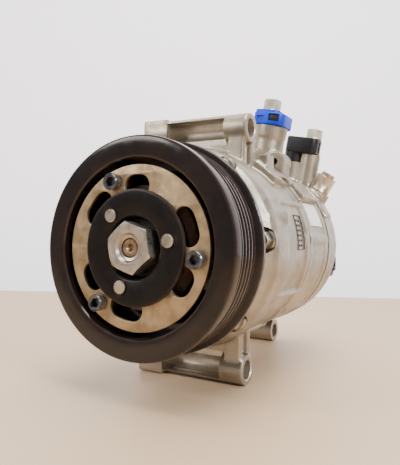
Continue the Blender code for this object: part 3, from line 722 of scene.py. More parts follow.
@dataclass
class DriveEnd(SubAssembly):
    """The pulley, the damper plate, the centre disc and the hub."""

    body: Body = Body.ROTOR
    rim: float = 55.0
    width: float = 31.5
    grooves: int = 6
    pitch: float = 3.56
    depth: float = 2.7
    first_groove: float = 8.4
    screw_circle: float = 35.2
    screw_turn: float = -7.1
    rivet_circle: float = 20.5
    rivet_turn: float = 10.8
    plate_radius: float = 41.0
    plate_front: float = 2.7
    sheet: float = 2.0
    disc_radius: float = 28.8
    disc_front: float = 0.2
    dish: float = 6.2
    hub_front: float = -4.0
    hex_radius: float = 13.2
    hex_turn: float = 41.5

    def thirds(self, first: float) -> list[float]:
        """Gives three even turns."""
        return [first + FULL_TURN / 3 * i for i in range(3)]

    def build(self) -> None:
        """Makes every piece that turns at the front."""
        self.pulley()
        self.damper_plate()
        self.centre_disc()
        self.hub()
        self.shaft_end()
        self.bearing_race()
        for number, turn in enumerate(self.thirds(self.screw_turn), 1):
            self.plate_screw(number, turn)
        for number, turn in enumerate(self.thirds(self.rivet_turn), 1):
            self.rivet(number, turn)

    def pulley(self) -> None:
        """Makes the ribbed pulley with its web and its three screw bosses."""
        shop = self.shop
        root = self.rim - 1.3
        profile = [(0.9, 43.9), (0.25, 44.4), (0, 45.2), (0, 53.6), (0.15, 54.4), (0.5, 54.85),
                   (1.0, self.rim), (5.6, self.rim), (6.3, self.rim - 0.6)]
        for i in range(self.grooves):
            middle = self.first_groove + self.pitch * i
            profile += [(middle - self.pitch / 2 + 0.4, root), (middle - 0.42, root - self.depth),
                        (middle + 0.42, root - self.depth), (middle + self.pitch / 2 - 0.4, root)]
        last = self.first_groove + self.pitch * (self.grooves - 0.5)
        wall = 31.2
        profile += [(last + 0.5, 56.0), (last + 0.9, 56.3), (self.width - 0.6, 56.3),
                    (self.width, 55.7), (self.width, 47.9), (self.width - 0.6, 47.5), (24, 47.5),
                    (24, wall), (self.width, wall), (self.width, 27.8), (11.0, 27.8), (11.0, 26.0),
                    (9.4, 26.0), (9.4, wall), (18.0, wall), (18.0, 43.6)]
        body = shop.lathe("pulley_rim", profile, 180)
        front = self.plate_front + self.sheet + 0.3
        for turn in self.thirds(self.screw_turn):
            boss = shop.pin("boss", self.screw_circle, turn, front, 20, 6.0, 32)
            hole = shop.pin("hole", self.screw_circle, turn, front - 1, 17, 2.8, 24)
            join(body, cut(boss, hole))
        self.mount(body, E_COAT, "black_paint", "pulley")

    def kidney(self, first: float, last: float, inner: float = 24.6, outer: float = 36.0) -> Outline:
        """Gives a slot along an arc, with round ends.

        Args:
            first: The turn that it starts at.
            last: The turn that it ends at.
            inner: Its inner radius.
            outer: Its outer radius.

        Returns:
            The outline.
        """
        middle, half = (outer + inner) / 2, (outer - inner) / 2
        end = math.degrees(half / middle)
        near, far, steps = first + end, last - end, 14

        def cap(turn: float, start: float) -> Outline:
            """Gives one round end."""
            x, up = polar(middle, turn)
            swing = [math.radians(start + 180 * i / 12) for i in range(1, 12)]
            return [(x + half * math.cos(a), up + half * math.sin(a)) for a in swing]

        out = [polar(outer, near + (far - near) * i / steps) for i in range(steps + 1)]
        back = [polar(inner, far + (near - far) * i / steps) for i in range(steps + 1)]
        return out + cap(far, far) + back + cap(near, near + 180)

    def damper_plate(self) -> None:
        """Makes the slotted plate that drives the hub."""
        outlines = [circle(self.plate_radius, 144), circle(18.0, 48)]
        for turn in self.thirds(self.screw_turn):
            outlines += [self.kidney(turn + 9, turn + 46), self.kidney(turn - 36.5, turn - 8.5),
                         circle(2.8, 24, polar(self.screw_circle, turn))]
        for turn in self.thirds(self.rivet_turn):
            outlines.append(circle(1.9, 20, polar(self.rivet_circle, turn)))
        plate = self.shop.slab("slotted_plate", self.plate_front, self.plate_front + self.sheet,
                               outlines, edge=0.3)
        self.mount(plate, ZINC, "yellow_zinc", "damper_plate")

    def centre_disc(self) -> None:
        """Makes the dished black disc round the hexagon."""
        shop = self.shop
        front, rear, dish = self.disc_front, self.disc_front + self.sheet, self.dish
        mouth, floor = self.hex_radius + 2.4, self.hex_radius + 0.8
        disc = shop.lathe("dished_disc", [
            (front + 0.05, self.disc_radius - 0.7), (front + 0.25, self.disc_radius - 0.2),
            (front + 0.7, self.disc_radius), (rear - 0.3, self.disc_radius),
            (rear, self.disc_radius - 0.3), (rear, mouth + 1.7), (rear + dish, floor + 1.7),
            (rear + dish, 10.7), (front + dish, 10.7), (front + dish, floor),
            (front + 0.9, mouth - 0.3), (front + 0.3, mouth + 0.3), (front, mouth + 1.0),
            (front, self.disc_radius - 1.6)])
        for turn in self.thirds(self.rivet_turn):
            cut(disc, shop.pin("hole", self.rivet_circle, turn, front - 1, rear + 1, 1.9, 20))
        self.mount(disc, SATIN, "black_disc", "centre_disc")

    def hub(self) -> None:
        """Makes the hexagon with its chamfered corners, its bore and its sleeve."""
        shop, shaft = self.shop, self.shop.shaft
        axis = shaft.at(0, 0, 0)
        floor = self.disc_front + self.dish - 0.3
        front = self.hub_front
        body = shop.rod("hub_hexagon", shaft.at(0, 0, floor), shaft.at(0, 0, front), self.hex_radius, 6)
        corner = body.data.vertices[0].co - axis
        miss = math.radians(self.hex_turn) - math.atan2(corner.z, corner.x)
        body.data.transform(Matrix.Translation(axis) @ Matrix.Rotation(-miss, 4, "Y")
                            @ Matrix.Translation(-axis))
        trim = shop.lathe("trim", [(front - 0.1, 0), (front - 0.1, 11.5), (front + 1.1, 13.5),
                                   (floor + 0.2, 13.5), (floor + 0.2, 0)], 96)
        combine(body, trim, "INTERSECT", Solver.CAREFUL)
        tail = shop.lathe("tail", [(floor - 1, 0), (floor - 1, 10.4), (8.7, 10.4), (8.7, 12.0),
                                   (20.0, 12.0), (20.0, 0)], 64)
        bore = shop.lathe("bore", [(front - 0.5, 0), (front - 0.5, 7.9), (front + 0.2, 7.2),
                                   (front + 1.6, 6.2), (front + 1.9, 4.85), (6.2, 4.85), (6.2, 8.3),
                                   (21.0, 8.3), (21.0, 0)], 64)
        combine(body, tail, "UNION", Solver.CAREFUL)
        combine(body, bore, "DIFFERENCE", Solver.CAREFUL)
        self.mount(soften(body, 0.15, 2, 40.0), STEEL, "hub_steel", "hub", angle=25.0)

    def shaft_end(self) -> None:
        """Makes the stepped shaft with the centre hole in its front end."""
        low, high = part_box("shaft")
        front, rear = self.shop.shaft.station(low.y), self.shop.shaft.station(high.y)
        body = self.shop.lathe("drive_shaft", [
            (front + 2.6, 0), (front + 1.5, 0.9), (front + 0.15, 1.9), (front, 2.3), (front, 3.9),
            (front + 0.5, 4.5), (6.5, 4.5), (6.5, 8.0), (rear - 0.6, 8.0), (rear, 7.4), (rear, 0)], 72)
        self.mount(body, BROWN, "machined_steel", "shaft")

    def bearing_race(self) -> None:
        """Makes the bearing's outer ring, which turns with the pulley."""
        front, rear = BEARING_ENDS
        middle = (front + rear) / 2
        race = self.shop.lathe("outer_race", [
            (front, 23.9), (front, 27.2), (front + 0.3, 27.5), (rear - 0.3, 27.5), (rear, 27.2),
            (rear, 23.9), (middle + 3, 23.9), (middle + 1.2, 25.6), (middle - 1.2, 25.6),
            (middle - 3, 23.9)], 120)
        self.mount(race, STEEL, "machined_steel", "bearing_outer_ring")

    def plate_screw(self, number: int, turn: float) -> None:
        """Makes one socket screw of the damper plate.

        Args:
            number: Its number.
            turn: Its turn about the shaft.
        """
        shop, shaft = self.shop, self.shop.shaft
        seat = self.plate_front - 0.3

        def spot(station: float) -> Vector:
            """Gives a place on the screw's axis."""
            return shaft.around(self.screw_circle, turn, station)

        head = shop.rod(f"socket_screw_{number}", spot(seat), spot(seat - 3.7), 4.3, 40)
        join(head, shop.rod("crown", spot(seat - 3.6), spot(seat - 4.2), 4.28, 40, end_radius=3.8))
        combine(head, shop.rod("shank", spot(seat - 1), spot(16), 2.4, 24), "UNION", Solver.CAREFUL)
        combine(head, shop.rod("socket", spot(seat - 6), spot(seat - 1.6), 2.5, 6), "DIFFERENCE",
                Solver.CAREFUL)
        combine(head, shop.rod("lead", spot(seat - 4.3), spot(seat - 3.7), 3.1, 32, end_radius=2.2),
                "DIFFERENCE", Solver.CAREFUL)
        self.mount(head, BLACK_STEEL, "black_screw", f"plate_screw_{number}")

    def rivet(self, number: int, turn: float) -> None:
        """Makes one rivet of the centre disc.

        Args:
            number: Its number.
            turn: Its turn about the shaft.
        """
        shop, shaft = self.shop, self.shop.shaft
        front = self.disc_front - 0.3
        rear = self.plate_front + self.sheet + 0.3

        def spot(station: float) -> Vector:
            """Gives a place on the rivet's axis."""
            return shaft.around(self.rivet_circle, turn, station)

        head = shop.rod(f"headed_rivet_{number}", spot(front), spot(front - 0.7), 3.3, 40)
        join(head, shop.rod("crown", spot(front - 0.65), spot(front - 1.1), 3.25, 40, end_radius=2.7),
             shop.rod("shank", spot(front - 0.5), spot(rear + 0.5), 1.6, 24),
             shop.rod("tail", spot(rear), spot(rear + 1.1), 2.4, 32))
        self.mount(head, STEEL, "hub_steel", f"rivet_{number}")


# ---------------------------------------------------------------- casings


@dataclass
class Casings(SubAssembly):
    """The three castings, the sheets between them and the bolts that hold them together."""

    body_radius: float = 55.6
    bolts: int = 7
    bolt_circle: float = 50.8
    bolt_turn: float = 5.5
    bolt_seat: float = 44.5
    lug_up: float = 68.5
    lug_half: float = 33.0
    lug_station: float = 66.5
    lug_radius: float = 8.5
    lug_hole: float = 5.4
    bolt_hole: float = 3.3
    housing_rear: float = 108.0
    cavity_radius: float = 46.6
    block_ends: tuple[float, float] = (109.4, 150.6)
    rear_ends: tuple[float, float] = (155.3, 198.3)
    piston_circle: float = 33.5
    cylinder_radius: float = 12.9
    valve_up: float = -14.0
    valve_inset: float = 9.5
    suction: tuple[float, float, float] = (20.0, 58.0, 122.0)
    discharge: tuple[float, float, float] = (21.5, 52.0, 171.0)
    relief: tuple[float, float, float] = (42.8, 39.5, 170.0)
    port_lean: float = 80.0
    relief_lean: float = 58.7

    def turns(self) -> list[float]:
        """Gives the turns of the through bolts."""
        return [self.bolt_turn + FULL_TURN / self.bolts * i for i in range(self.bolts)]

    def port(self, base: tuple[float, float, float], across: float, along: float, height: float,
             lean: float | None = None) -> Vector:
        """Gives a place near a port.

        Args:
            base: The port's (x, up, station).
            across: Sideways from its axis.
            along: Back along the shaft.
            height: Out along its axis.
            lean: Its axis, in degrees from +x.

        Returns:
            The place.
        """
        turn = math.radians(self.port_lean if lean is None else lean)
        x, up, station = base
        return self.shop.shaft.at(x + height * math.cos(turn) + across * math.sin(turn),
                                  up + height * math.sin(turn) - across * math.cos(turn), station + along)

    def spigot(self, name: str, base: tuple[float, float, float], offset: tuple[float, float],
               heights: tuple[float, float], radius: float, sides: int = 48,
               lean: float | None = None, **more: float) -> bpy.types.Object:
        """Makes a round bar that runs out along a port's axis.

        Args:
            name: The object's name.
            base: The port's place.
            offset: The bar's place, across and along.
            heights: Where it starts and ends along the axis.
            radius: Its radius.
            sides: Its sides.
            lean: The port's axis, in degrees from +x.
            more: What else a rod takes.

        Returns:
            The bar.
        """
        start, end = (self.port(base, *offset, height, lean) for height in heights)
        return self.shop.rod(name, start, end, radius, sides, **more)

    def build(self) -> None:
        """Makes the castings, the sheets between them and the bolts."""
        self.front_housing()
        self.cylinder_block()
        self.rear_housing()
        self.sheets()
        self.inner_race()
        for number, turn in enumerate(self.turns(), 1):
            self.through_bolt(number, turn)

    def cylinder_turns(self) -> list[float]:
        """Gives the turns of the cylinders, which lie between the bolts."""
        return [self.bolt_turn + FULL_TURN / self.bolts * (i + 0.5) for i in range(self.bolts)]

    def bolt_holes(self, front: float, rear: float) -> list[bpy.types.Object]:
        """Makes the tools that cut the through bolts' holes, from one station to another."""
        return [self.shop.pin("hole", self.bolt_circle, turn, front, rear, self.bolt_hole, 24)
                for turn in self.turns()]

    def lug(self, side: int) -> list[bpy.types.Object]:
        """Makes one pair of mounting bosses with its webs.

        Args:
            side: 1 for the top pair, -1 for the bottom pair.

        Returns:
            The pieces to cast.
        """
        shop = self.shop
        up, half, mid, r = side * self.lug_up, self.lug_half, self.lug_station, self.lug_radius
        low = side * 47.0
        return [
            shop.bar("boss", -half, half, up, mid, r),
            shop.block("left_end", (-half - 3.0, side * 57.5, mid - 8.0), (-19.0, side * 76.6, mid + 7.0)),
            shop.block("web", (-half + 4.5, low, mid - 3.5), (half - 5.0, up, mid + 5.0)),
            shop.block("front_rib_right", (half - 11.5, low, mid - 7.0), (half - 2.0, up, mid - 2.5)),
            shop.block("rear_rib_right", (half - 9.0, low, mid + 3.0), (half - 1.5, up, mid + 7.2)),
            shop.block("front_rib_left", (-half + 0.5, low, mid - 7.0), (-half + 12.0, up, mid - 2.5)),
            shop.block("rear_rib_left", (-half + 1.5, low, mid + 3.0), (-half + 10.0, up, mid + 7.2)),
            shop.block("middle_rib", (-4.0, low, mid + 2.0), (4.0, up, mid + 6.8)),
        ]

    def front_housing(self) -> None:
        """Makes the front housing: the bowl, the nose and both pairs of mounting bosses."""
        shop, shaft = self.shop, self.shop.shaft
        rear = self.housing_rear
        bowl = shop.lathe("bowl", [
            (9.2, 0), (9.2, 17.0), (9.5, 17.3), (31.3, 17.3), (31.3, 20.5), (35.5, 20.5),
            (37, 24), (37, 46), (39.5, 51.5), (43.5, 55.6), (48, 57.0), (52, 57.0),
            (64, 57.0), (67, 55.4), (100, 54.6), (103, 55.8), (rear + 3, 55.8), (rear + 3, 0)], 160)
        pieces = [bowl, shop.block("pad", (50.0, -9.5, 82.0), (59.4, 9.5, rear + 3), 52.0),
                  shop.block("pad_step", (50.0, -4.5, 88.0), (59.6, 9.5, rear + 3), 64.0),
                  shop.rod("bulge", shaft.around(50, self.bolt_turn + 13, 45),
                           shaft.around(53, self.bolt_turn + 13, 66), 6.5, 32),
                  shop.block("small_upright", (30.0, 44.0, 84.0), (36.0, 56.0, 96.0))]
        for turn in self.turns():
            pieces.append(shop.rod("bolt_boss", shaft.around(self.bolt_circle - 1.2, turn, 43),
                                   shaft.around(self.bolt_circle - 3.0, turn, 76), 7.6, 32, end_radius=6.2))
            pieces.append(shop.pin("flange_ear", self.bolt_circle - 0.8, turn, 99, rear + 3, 6.0, 32))
        for turn in (28.0, 118.0, 152.0, 208.0, 242.0, 298.0, 332.0):
            pieces.append(shop.block("rib", (50.0, -1.3, 46.0), (57.2, 1.3, rear + 3), turn))
        pieces += self.lug(1) + self.lug(-1)
        body = cast("front_casting", pieces)
        for side in (1, -1):
            self.cut_lug(body, side)
        seats = [shop.pin("seat", self.bolt_circle, turn, 30, self.bolt_seat, 6.9, 40)
                 for turn in self.turns()]
        slot = shop.block("pad_slot", (58.0, -5.5, 90.0), (62.0, 5.5, 103.0), 41.0)
        cut(body, *seats, slot, *self.bolt_holes(43, rear + 4),
            shop.rod("cavity", shaft.at(0, 0, 52.0), shaft.at(0, 0, rear + 5), self.cavity_radius, 128),
            shop.rod("bore", shaft.at(0, 0, 5), shaft.at(0, 0, 60), 12.6, 96),
            shop.block("face", (-70, -70, rear), (70, 70, rear + 8)))
        self.mount(body, CAST, "cast_aluminium", "front_housing")

    def cut_lug(self, body: bpy.types.Object, side: int) -> None:
        """Cuts the pocket, the hole and the end faces of one pair of bosses.

        Args:
            body: The casting.
            side: 1 for the top pair, -1 for the bottom pair.
        """
        shop = self.shop
        up, half, mid = side * self.lug_up, self.lug_half, self.lug_station
        cut(body,
            shop.block("pocket", (-19, side * 59.0, mid - 14), (19, side * 74.2, mid)),
            shop.bar("hole", -half - 6, half + 6, up, mid, self.lug_hole),
            shop.block("right_face", (half, up - 14, mid - 14), (half + 8, up + 14, mid + 14)),
            shop.bar("lead", half - 0.7, half + 0.3, up, mid, self.lug_hole - 0.1,
                     end_radius=self.lug_hole + 0.9))

    def cylinder_block(self) -> None:
        """Makes the cylinder block with the suction tower, the ear and the pads."""
        shop, shaft = self.shop, self.shop.shaft
        front, rear = self.block_ends
        base = self.suction
        shell = shop.lathe("shell", [(front - 3, 0), (front - 3, 55.6), (front + 5, 55.6),
                                     (front + 7, 55.0), (rear - 7, 55.0), (rear - 5, 55.6),
                                     (rear + 3, 55.6), (rear + 3, 0)], 160)
        pieces = [
            shell,
            self.spigot("tower", base, (0, 0), (-12, 24.5), 11.2, 64, end_radius=9.8),
            self.spigot("tower_collar", base, (0, 0), (15.0, 24.5), 10.6, 64, end_radius=11.2),
            shop.block("tower_web", (7.0, 44.0, 112.0), (30.0, 57.0, 136.0)),
            shop.rod("ear", shaft.at(30.5, 55.5, front + 1), shaft.at(30.5, 55.5, front + 16), 6.8),
            shop.block("ear_web", (24.5, 40.0, front + 1), (36.5, 55.5, front + 15)),
            shop.block("upright", (13.0, 50.0, front + 1), (19.0, 64.0, front + 9)),
            shop.block("pad", (50.0, -9.0, front + 3), (58.0, 8.0, rear - 2), 41.0),
            shop.block("pad_rib", (50.0, -9.0, front + 3), (59.4, -6.2, rear - 2), 41.0),
            shop.block("pad_end", (50.0, -9.0, front + 3), (59.4, 8.0, front + 6.5), 41.0),
        ]
        for turn in self.turns():
            pieces.append(shop.pin("flange_ear", self.bolt_circle - 0.4, turn, front - 3, rear + 3, 5.9, 32))
        body = cast("block_casting", pieces, passes=6)
        top = self.port(base, 0, 0, 22.5)
        over = self.port(base, 0, 0, 40)
        bores = [shop.pin("bore", self.piston_circle, turn, front - 4, rear + 4, self.cylinder_radius)
                 for turn in self.cylinder_turns()]
        cut(body, shop.rod("face", top, over, 20, 32),
            shop.block("front_face", (-90, -90, front - 12), (90, 90, front)),
            shop.block("rear_face", (-90, -90, rear), (90, 90, rear + 12)),
            *bores, *self.bolt_holes(front - 3, rear + 3),
            shop.rod("centre", shaft.at(0, 0, front - 4), shaft.at(0, 0, rear - 10), 11.3, 64),
            shop.rod("rear_centre", shaft.at(0, 0, rear - 12), shaft.at(0, 0, rear + 4), 5.0),
            self.spigot("port", base, (0, 0), (6, 24), 6.5),
            shop.rod("thread", shaft.at(30.5, 55.5, front - 1), shaft.at(30.5, 55.5, front + 12), 2.2, 32),
            shop.rod("spot", shaft.at(30.5, 55.5, front - 1), shaft.at(30.5, 55.5, front + 1.4), 5.2, 40))
        self.mount(body, CAST, "cast_aluminium", "cylinder_block")

    def rear_housing(self) -> None:
        """Makes the domed rear housing with its bosses and its lug."""
        shop, shaft = self.shop, self.shop.shaft
        front, end = self.rear_ends
        lug_up, lug_mid, left, right = -self.lug_up, end - 9.0, -21.0, 4.0
        out, lean = self.relief, self.relief_lean
        dome = shop.lathe("dome", [
            (front - 3, 0), (front - 3, 55.6), (front + 4, 55.6), (front + 6, 55.0),
            (177.3, 55.0), (185.3, 53.2), (192.3, 48.8), (196.6, 44.0), (end, 38.5),
            (end, 26.0), (end - 1.6, 24.5), (end - 1.6, 0)], 160)
        pieces = [
            dome,
            shop.bar("valve_boss", 34.0, 49, self.valve_up, end - self.valve_inset, 9.2),
            shop.bar("lug", left - 1, right + 1, lug_up, lug_mid, 8.5),
            shop.block("lug_web", (left + 2, -40, lug_mid - 3.0), (right - 2, lug_up, lug_mid + 3.5)),
            shop.block("lug_rib", (-11.0, -40, lug_mid - 12.0), (-6.0, lug_up + 3, lug_mid + 6.0)),
            self.spigot("relief_boss", out, (0, 0), (-16, 1.5), 8.8, lean=lean),
            self.spigot("port_boss", self.discharge, (0, 0), (-14, 20.5), 8.2),
            self.spigot("bolt_boss", self.discharge, (12, 2), (-16, 20.5), 7.2),
            shop.block("relief_web", (49.0, -5.0, 158.0), (57.4, 5.0, 180.0), 44.0),
            shop.block("pad", (49.0, -8.0, 157.0), (57.0, 9.0, 171.0), 30.0),
        ]
        for turn in self.turns():
            pieces.append(shop.rod("flange_ear", shaft.around(self.bolt_circle - 0.4, turn, front - 3),
                                   shaft.around(self.bolt_circle - 2.4, turn, front + 22), 5.9, 32,
                                   end_radius=5.0))
        for turn in (20.0, 65.0, 110.0, 155.0, 200.0, 245.0, 290.0, 335.0):
            pieces.append(shop.block("rib", (20.0, -1.6, end - 8.0), (38.0, 1.6, end - 0.3), turn))
        body = cast("rear_casting", pieces, passes=6)
        cut(body,
            shop.block("front_face", (-90, -90, front - 12), (90, 90, front)),
            shop.block("left_face", (left - 8, lug_up - 14, lug_mid - 14),
                       (left, lug_up + 12, lug_mid + 14)),
            shop.block("right_face", (right, lug_up - 14, lug_mid - 14),
                       (right + 8, lug_up + 10, lug_mid + 14)),
            shop.bar("lug_hole", left - 4, right + 4, lug_up, lug_mid, self.lug_hole),
            *self.bolt_holes(front - 2, front + 17),
            shop.lathe("suction_chamber", [(front - 2, 29.0), (front - 2, 46.0), (front + 24, 46.0),
                                           (front + 24, 29.0)], 96),
            shop.rod("discharge_chamber", shaft.at(0, 0, front - 2), shaft.at(0, 0, front + 24), 22.5, 64),
            shop.bar("valve_bore", 8.0, 56, self.valve_up, end - self.valve_inset, 6.6),
            shop.bar("valve_seat", 45.5, 60, self.valve_up, end - self.valve_inset, 9.3),
            self.spigot("relief_face", out, (0, 0), (-0.3, 18), 8.4, lean=lean),
            self.spigot("relief_hole", out, (0, 0), (-12, 2), 4.6, 32, lean=lean),
            self.spigot("port_face", self.discharge, (6, 1), (18.5, 30), 18, 32),
            self.spigot("port_step", self.discharge, (0, 0), (11.5, 30), 8.4),
            self.spigot("port", self.discharge, (0, 0), (2, 20), 5.0, 40),
            self.spigot("thread", self.discharge, (12, 2), (2, 20), 3.3, 24))
        self.mount(body, CAST, "cast_aluminium", "rear_housing")

    def sheets(self) -> None:
        """Makes the two gaskets and the valve plate with fine edges."""
        radius = self.body_radius - 0.7
        holes = [circle(self.bolt_hole, 20, polar(self.bolt_circle, turn)) for turn in self.turns()]
        shop = self.shop
        front = shop.slab("front_sheet_gasket", 108.3, 109.1,
                          [circle(radius, 144), circle(self.cavity_radius + 0.2, 96)] + holes)
        self.mount(front, RUBBER, "seal_rubber", "front_gasket")
        rear = shop.slab("rear_sheet_gasket", 150.9, 151.7, [circle(radius, 144)] + holes
                         + [circle(self.cylinder_radius, 40, polar(self.piston_circle, turn))
                            for turn in self.cylinder_turns()])
        self.mount(rear, RUBBER, "seal_rubber", "rear_gasket")
        ports = [circle(3.2, 20, polar(39.0, turn)) for turn in self.cylinder_turns()]
        ports += [circle(2.4, 20, polar(25.5, turn)) for turn in self.cylinder_turns()]
        plate = shop.slab("reed_plate", 152.0, 155.0, [circle(radius, 144)] + holes + ports, edge=0.2)
        self.mount(plate, MACHINED, "machined_steel", "valve_plate")

    def inner_race(self) -> None:
        """Makes the bearing's inner ring, which stays on the nose."""
        front, rear = BEARING_ENDS
        middle = (front + rear) / 2
        race = self.shop.lathe("inner_race", [
            (front, 17.9), (front + 0.3, 17.6), (rear - 0.3, 17.6), (rear, 17.9), (rear, 21.2),
            (middle + 3, 21.2), (middle + 1.2, 19.8), (middle - 1.2, 19.8), (middle - 3, 21.2),
            (front, 21.2)], 120)
        self.mount(race, STEEL, "machined_steel", "bearing_inner_ring")

    def through_bolt(self, number: int, turn: float) -> None:
        """Makes one bolt that holds the casings together.

        Args:
            number: Its number.
            turn: Its turn about the shaft.
        """
        shaft = self.shop.shaft
        seat = self.bolt_seat - 0.3
        bolt = self.shop.hex_bolt(f"flanged_bolt_{number}", shaft.around(self.bolt_circle, turn, seat),
                                  shaft.around(self.bolt_circle, turn, seat - 6.8), 6.0, 4.9, 1.6,
                                  (shaft.around(self.bolt_circle, turn, 170.3), 3.0))
        self.mount(bolt, STEEL, "plated_bolt", f"through_bolt_{number}")


@dataclass
class Fittings(Casings):
    """The caps, their bolts, the relief valve and the control valve on the casings."""

    def build(self) -> None:
        """Makes every fitting."""
        self.suction_cap()
        self.discharge_cap()
        self.relief_valve()
        self.control_valve()
        self.data_field()

    def cushion(self, name: str, base: tuple[float, float, float], centre: tuple[float, float],
                size: tuple[float, float], heights: tuple[float, float], corner: float) -> bpy.types.Object:
        """Makes a block with rounded corners, square to a port's axis.

        Args:
            name: The object's name.
            base: The port's place.
            centre: The block's centre, across and along.
            size: Its size, across and along.
            heights: Its foot and its top.
            corner: Radius of its corners.

        Returns:
            The block.
        """
        across, along = size[0] / 2, size[1] / 2
        builder = bmesh.new()
        rings = []
        for height in heights:
            ring = []
            for sx, sy, start in ((1, 1, 0), (-1, 1, 90), (-1, -1, 180), (1, -1, 270)):
                for i in range(9):
                    swing = math.radians(start + 90 * i / 8)
                    ring.append(builder.verts.new(self.port(
                        base, centre[0] + sx * (across - corner) + corner * math.cos(swing),
                        centre[1] + sy * (along - corner) + corner * math.sin(swing), height)))
            rings.append(ring)
            builder.faces.new(ring)
        for i in range(len(rings[0])):
            j = (i + 1) % len(rings[0])
            builder.faces.new((rings[0][i], rings[0][j], rings[1][j], rings[1][i]))
        return from_builder(name, builder)

    def suction_cap(self) -> None:
        """Makes the blue shipping cap on the suction port, and its bolt."""
        shop, base, foot = self.shop, self.suction, 22.8
        top = foot + 10.0
        cap = self.cushion("blue_cap", base, (0, 1), (22.0, 24.0), (foot, foot + 8.2), 6.0)
        soften(cap, 0.7, 3, 50.0)
        collar = self.cushion("collar", base, (-1.5, -3), (17.0, 15.0), (foot + 5, top), 4.5)
        plug = self.spigot("plug", base, (0, 0), (14, foot + 2), 6.0, 40)
        for tool in (soften(collar, 0.6, 2, 50.0), plug):
            combine(cap, tool, "UNION", Solver.CAREFUL)
        window = self.cushion("window", base, (4.6, -10.8), (7.0, 3.0), (foot + 2.6, foot + 7.2), 0.5)
        notch = self.cushion("notch", base, (-4.6, -11.6), (4.6, 3.2), (foot + 1.2, foot + 5.6), 0.5)
        hole = self.spigot("hole", base, (-1.5, -1), (15, top + 4), 3.3, 32)
        for tool in (window, notch, hole):
            combine(cap, tool, "DIFFERENCE", Solver.CAREFUL)
        self.mount(cap, BLUE, "blue_plastic", "suction_cap")
        pane = self.cushion("cap_window_pane", base, (4.6, -9.7), (6.6, 0.8), (foot + 2.8, foot + 7.0), 0.3)
        self.mount(soften(pane, 0.15, 2), BLACK, "black_plastic")
        bolt = shop.hex_bolt("suction_bolt", self.port(base, -1.5, -1, top + 0.3),
                             self.port(base, -1.5, -1, top + 7.9), 5.8, 5.8, 1.0,
                             (self.port(base, -1.5, -1, 18), 3.0))
        self.mount(bolt, PLATED, "plated_bolt", "suction_cap_bolt")

    def discharge_cap(self) -> None:
        """Makes the black shipping cap on the discharge port, and its bolt."""
        shop, base, foot = self.shop, self.discharge, 18.8
        top = foot + 11.5
        cap = self.cushion("black_cap", base, (5.5, 1), (23.5, 18.0), (foot, top), 4.5)
        soften(cap, 0.8, 3, 50.0)
        for along in (-5.0, 1.0, 7.0):
            groove = self.cushion("groove", base, (17.6, along), (2.0, 3.4), (foot + 1.5, top - 2.0), 0.4)
            combine(cap, groove, "DIFFERENCE", Solver.CAREFUL)
        for tool in (self.spigot("collar", base, (0, 0), (11.8, foot + 2), 7.2),
                     self.spigot("plug", base, (0, 0), (10, 14), 4.7, 40)):
            combine(cap, tool, "UNION", Solver.CAREFUL)
        hole = self.spigot("hole", base, (12, 2), (8, top + 3), 3.3, 32)
        combine(cap, hole, "DIFFERENCE", Solver.CAREFUL)
        self.mount(cap, BLACK, "black_plastic", "discharge_cap")
        bolt = shop.hex_bolt("discharge_bolt", self.port(base, 12, 2, top + 0.3),
                             self.port(base, 12, 2, top + 7.3), 5.8, 5.8, 1.0,
                             (self.port(base, 12, 2, 5), 3.0))
        self.mount(bolt, PLATED, "plated_bolt", "discharge_cap_bolt")

    def relief_valve(self) -> None:
        """Makes the high-pressure relief valve."""
        shop, out, lean = self.shop, self.relief, self.relief_lean

        def spot(height: float) -> Vector:
            """Gives a place on the valve's axis."""
            return self.port(out, 0, 0, height, lean)

        valve = shop.hex_bolt("pressure_relief", spot(0), spot(13.5), 7.6, 7.2, 2.6, (spot(-11), 4.3))
        for tool in (shop.rod("tip", spot(12.5), spot(16), 5.2, 40, end_radius=4.6),
                     shop.rod("neck", spot(2.5), spot(4.6), 7.4, end_radius=6.4)):
            combine(valve, tool, "UNION", Solver.CAREFUL)
        combine(valve, shop.rod("vent", spot(14.6), spot(17), 2.6, 32), "DIFFERENCE", Solver.CAREFUL)
        self.mount(valve, RELIEF, "relief_steel", "relief_valve")

    def control_valve(self) -> None:
        """Makes the control valve's body and its plug socket."""
        shop = self.shop
        end, up, seat = self.rear_ends[1] - self.valve_inset, self.valve_up, 45.8
        body = shop.bar("solenoid_body", 10.0, seat + 0.5, up, end, 6.3)
        plug = shop.block("plug", (seat + 0.5, up - 4.5, end - 4.0), (seat + 5.7, up + 6.5, end + 4.0))
        head = shop.bar("head", seat, seat + 3.2, up, end, 8.6)
        for tool in (head, soften(plug, 0.9, 3)):
            combine(body, tool, "UNION", Solver.CAREFUL)
        for tool in (shop.bar("spool_bore", 8.0, seat - 4, up, end, 2.6, 32),
                     shop.block("pins", (seat + 2.6, up - 1.0, end - 2.6), (seat + 8, up + 5.0, end + 2.6))):
            combine(body, tool, "DIFFERENCE", Solver.CAREFUL)
        self.mount(body, BLACK, "black_plastic", "control_valve")

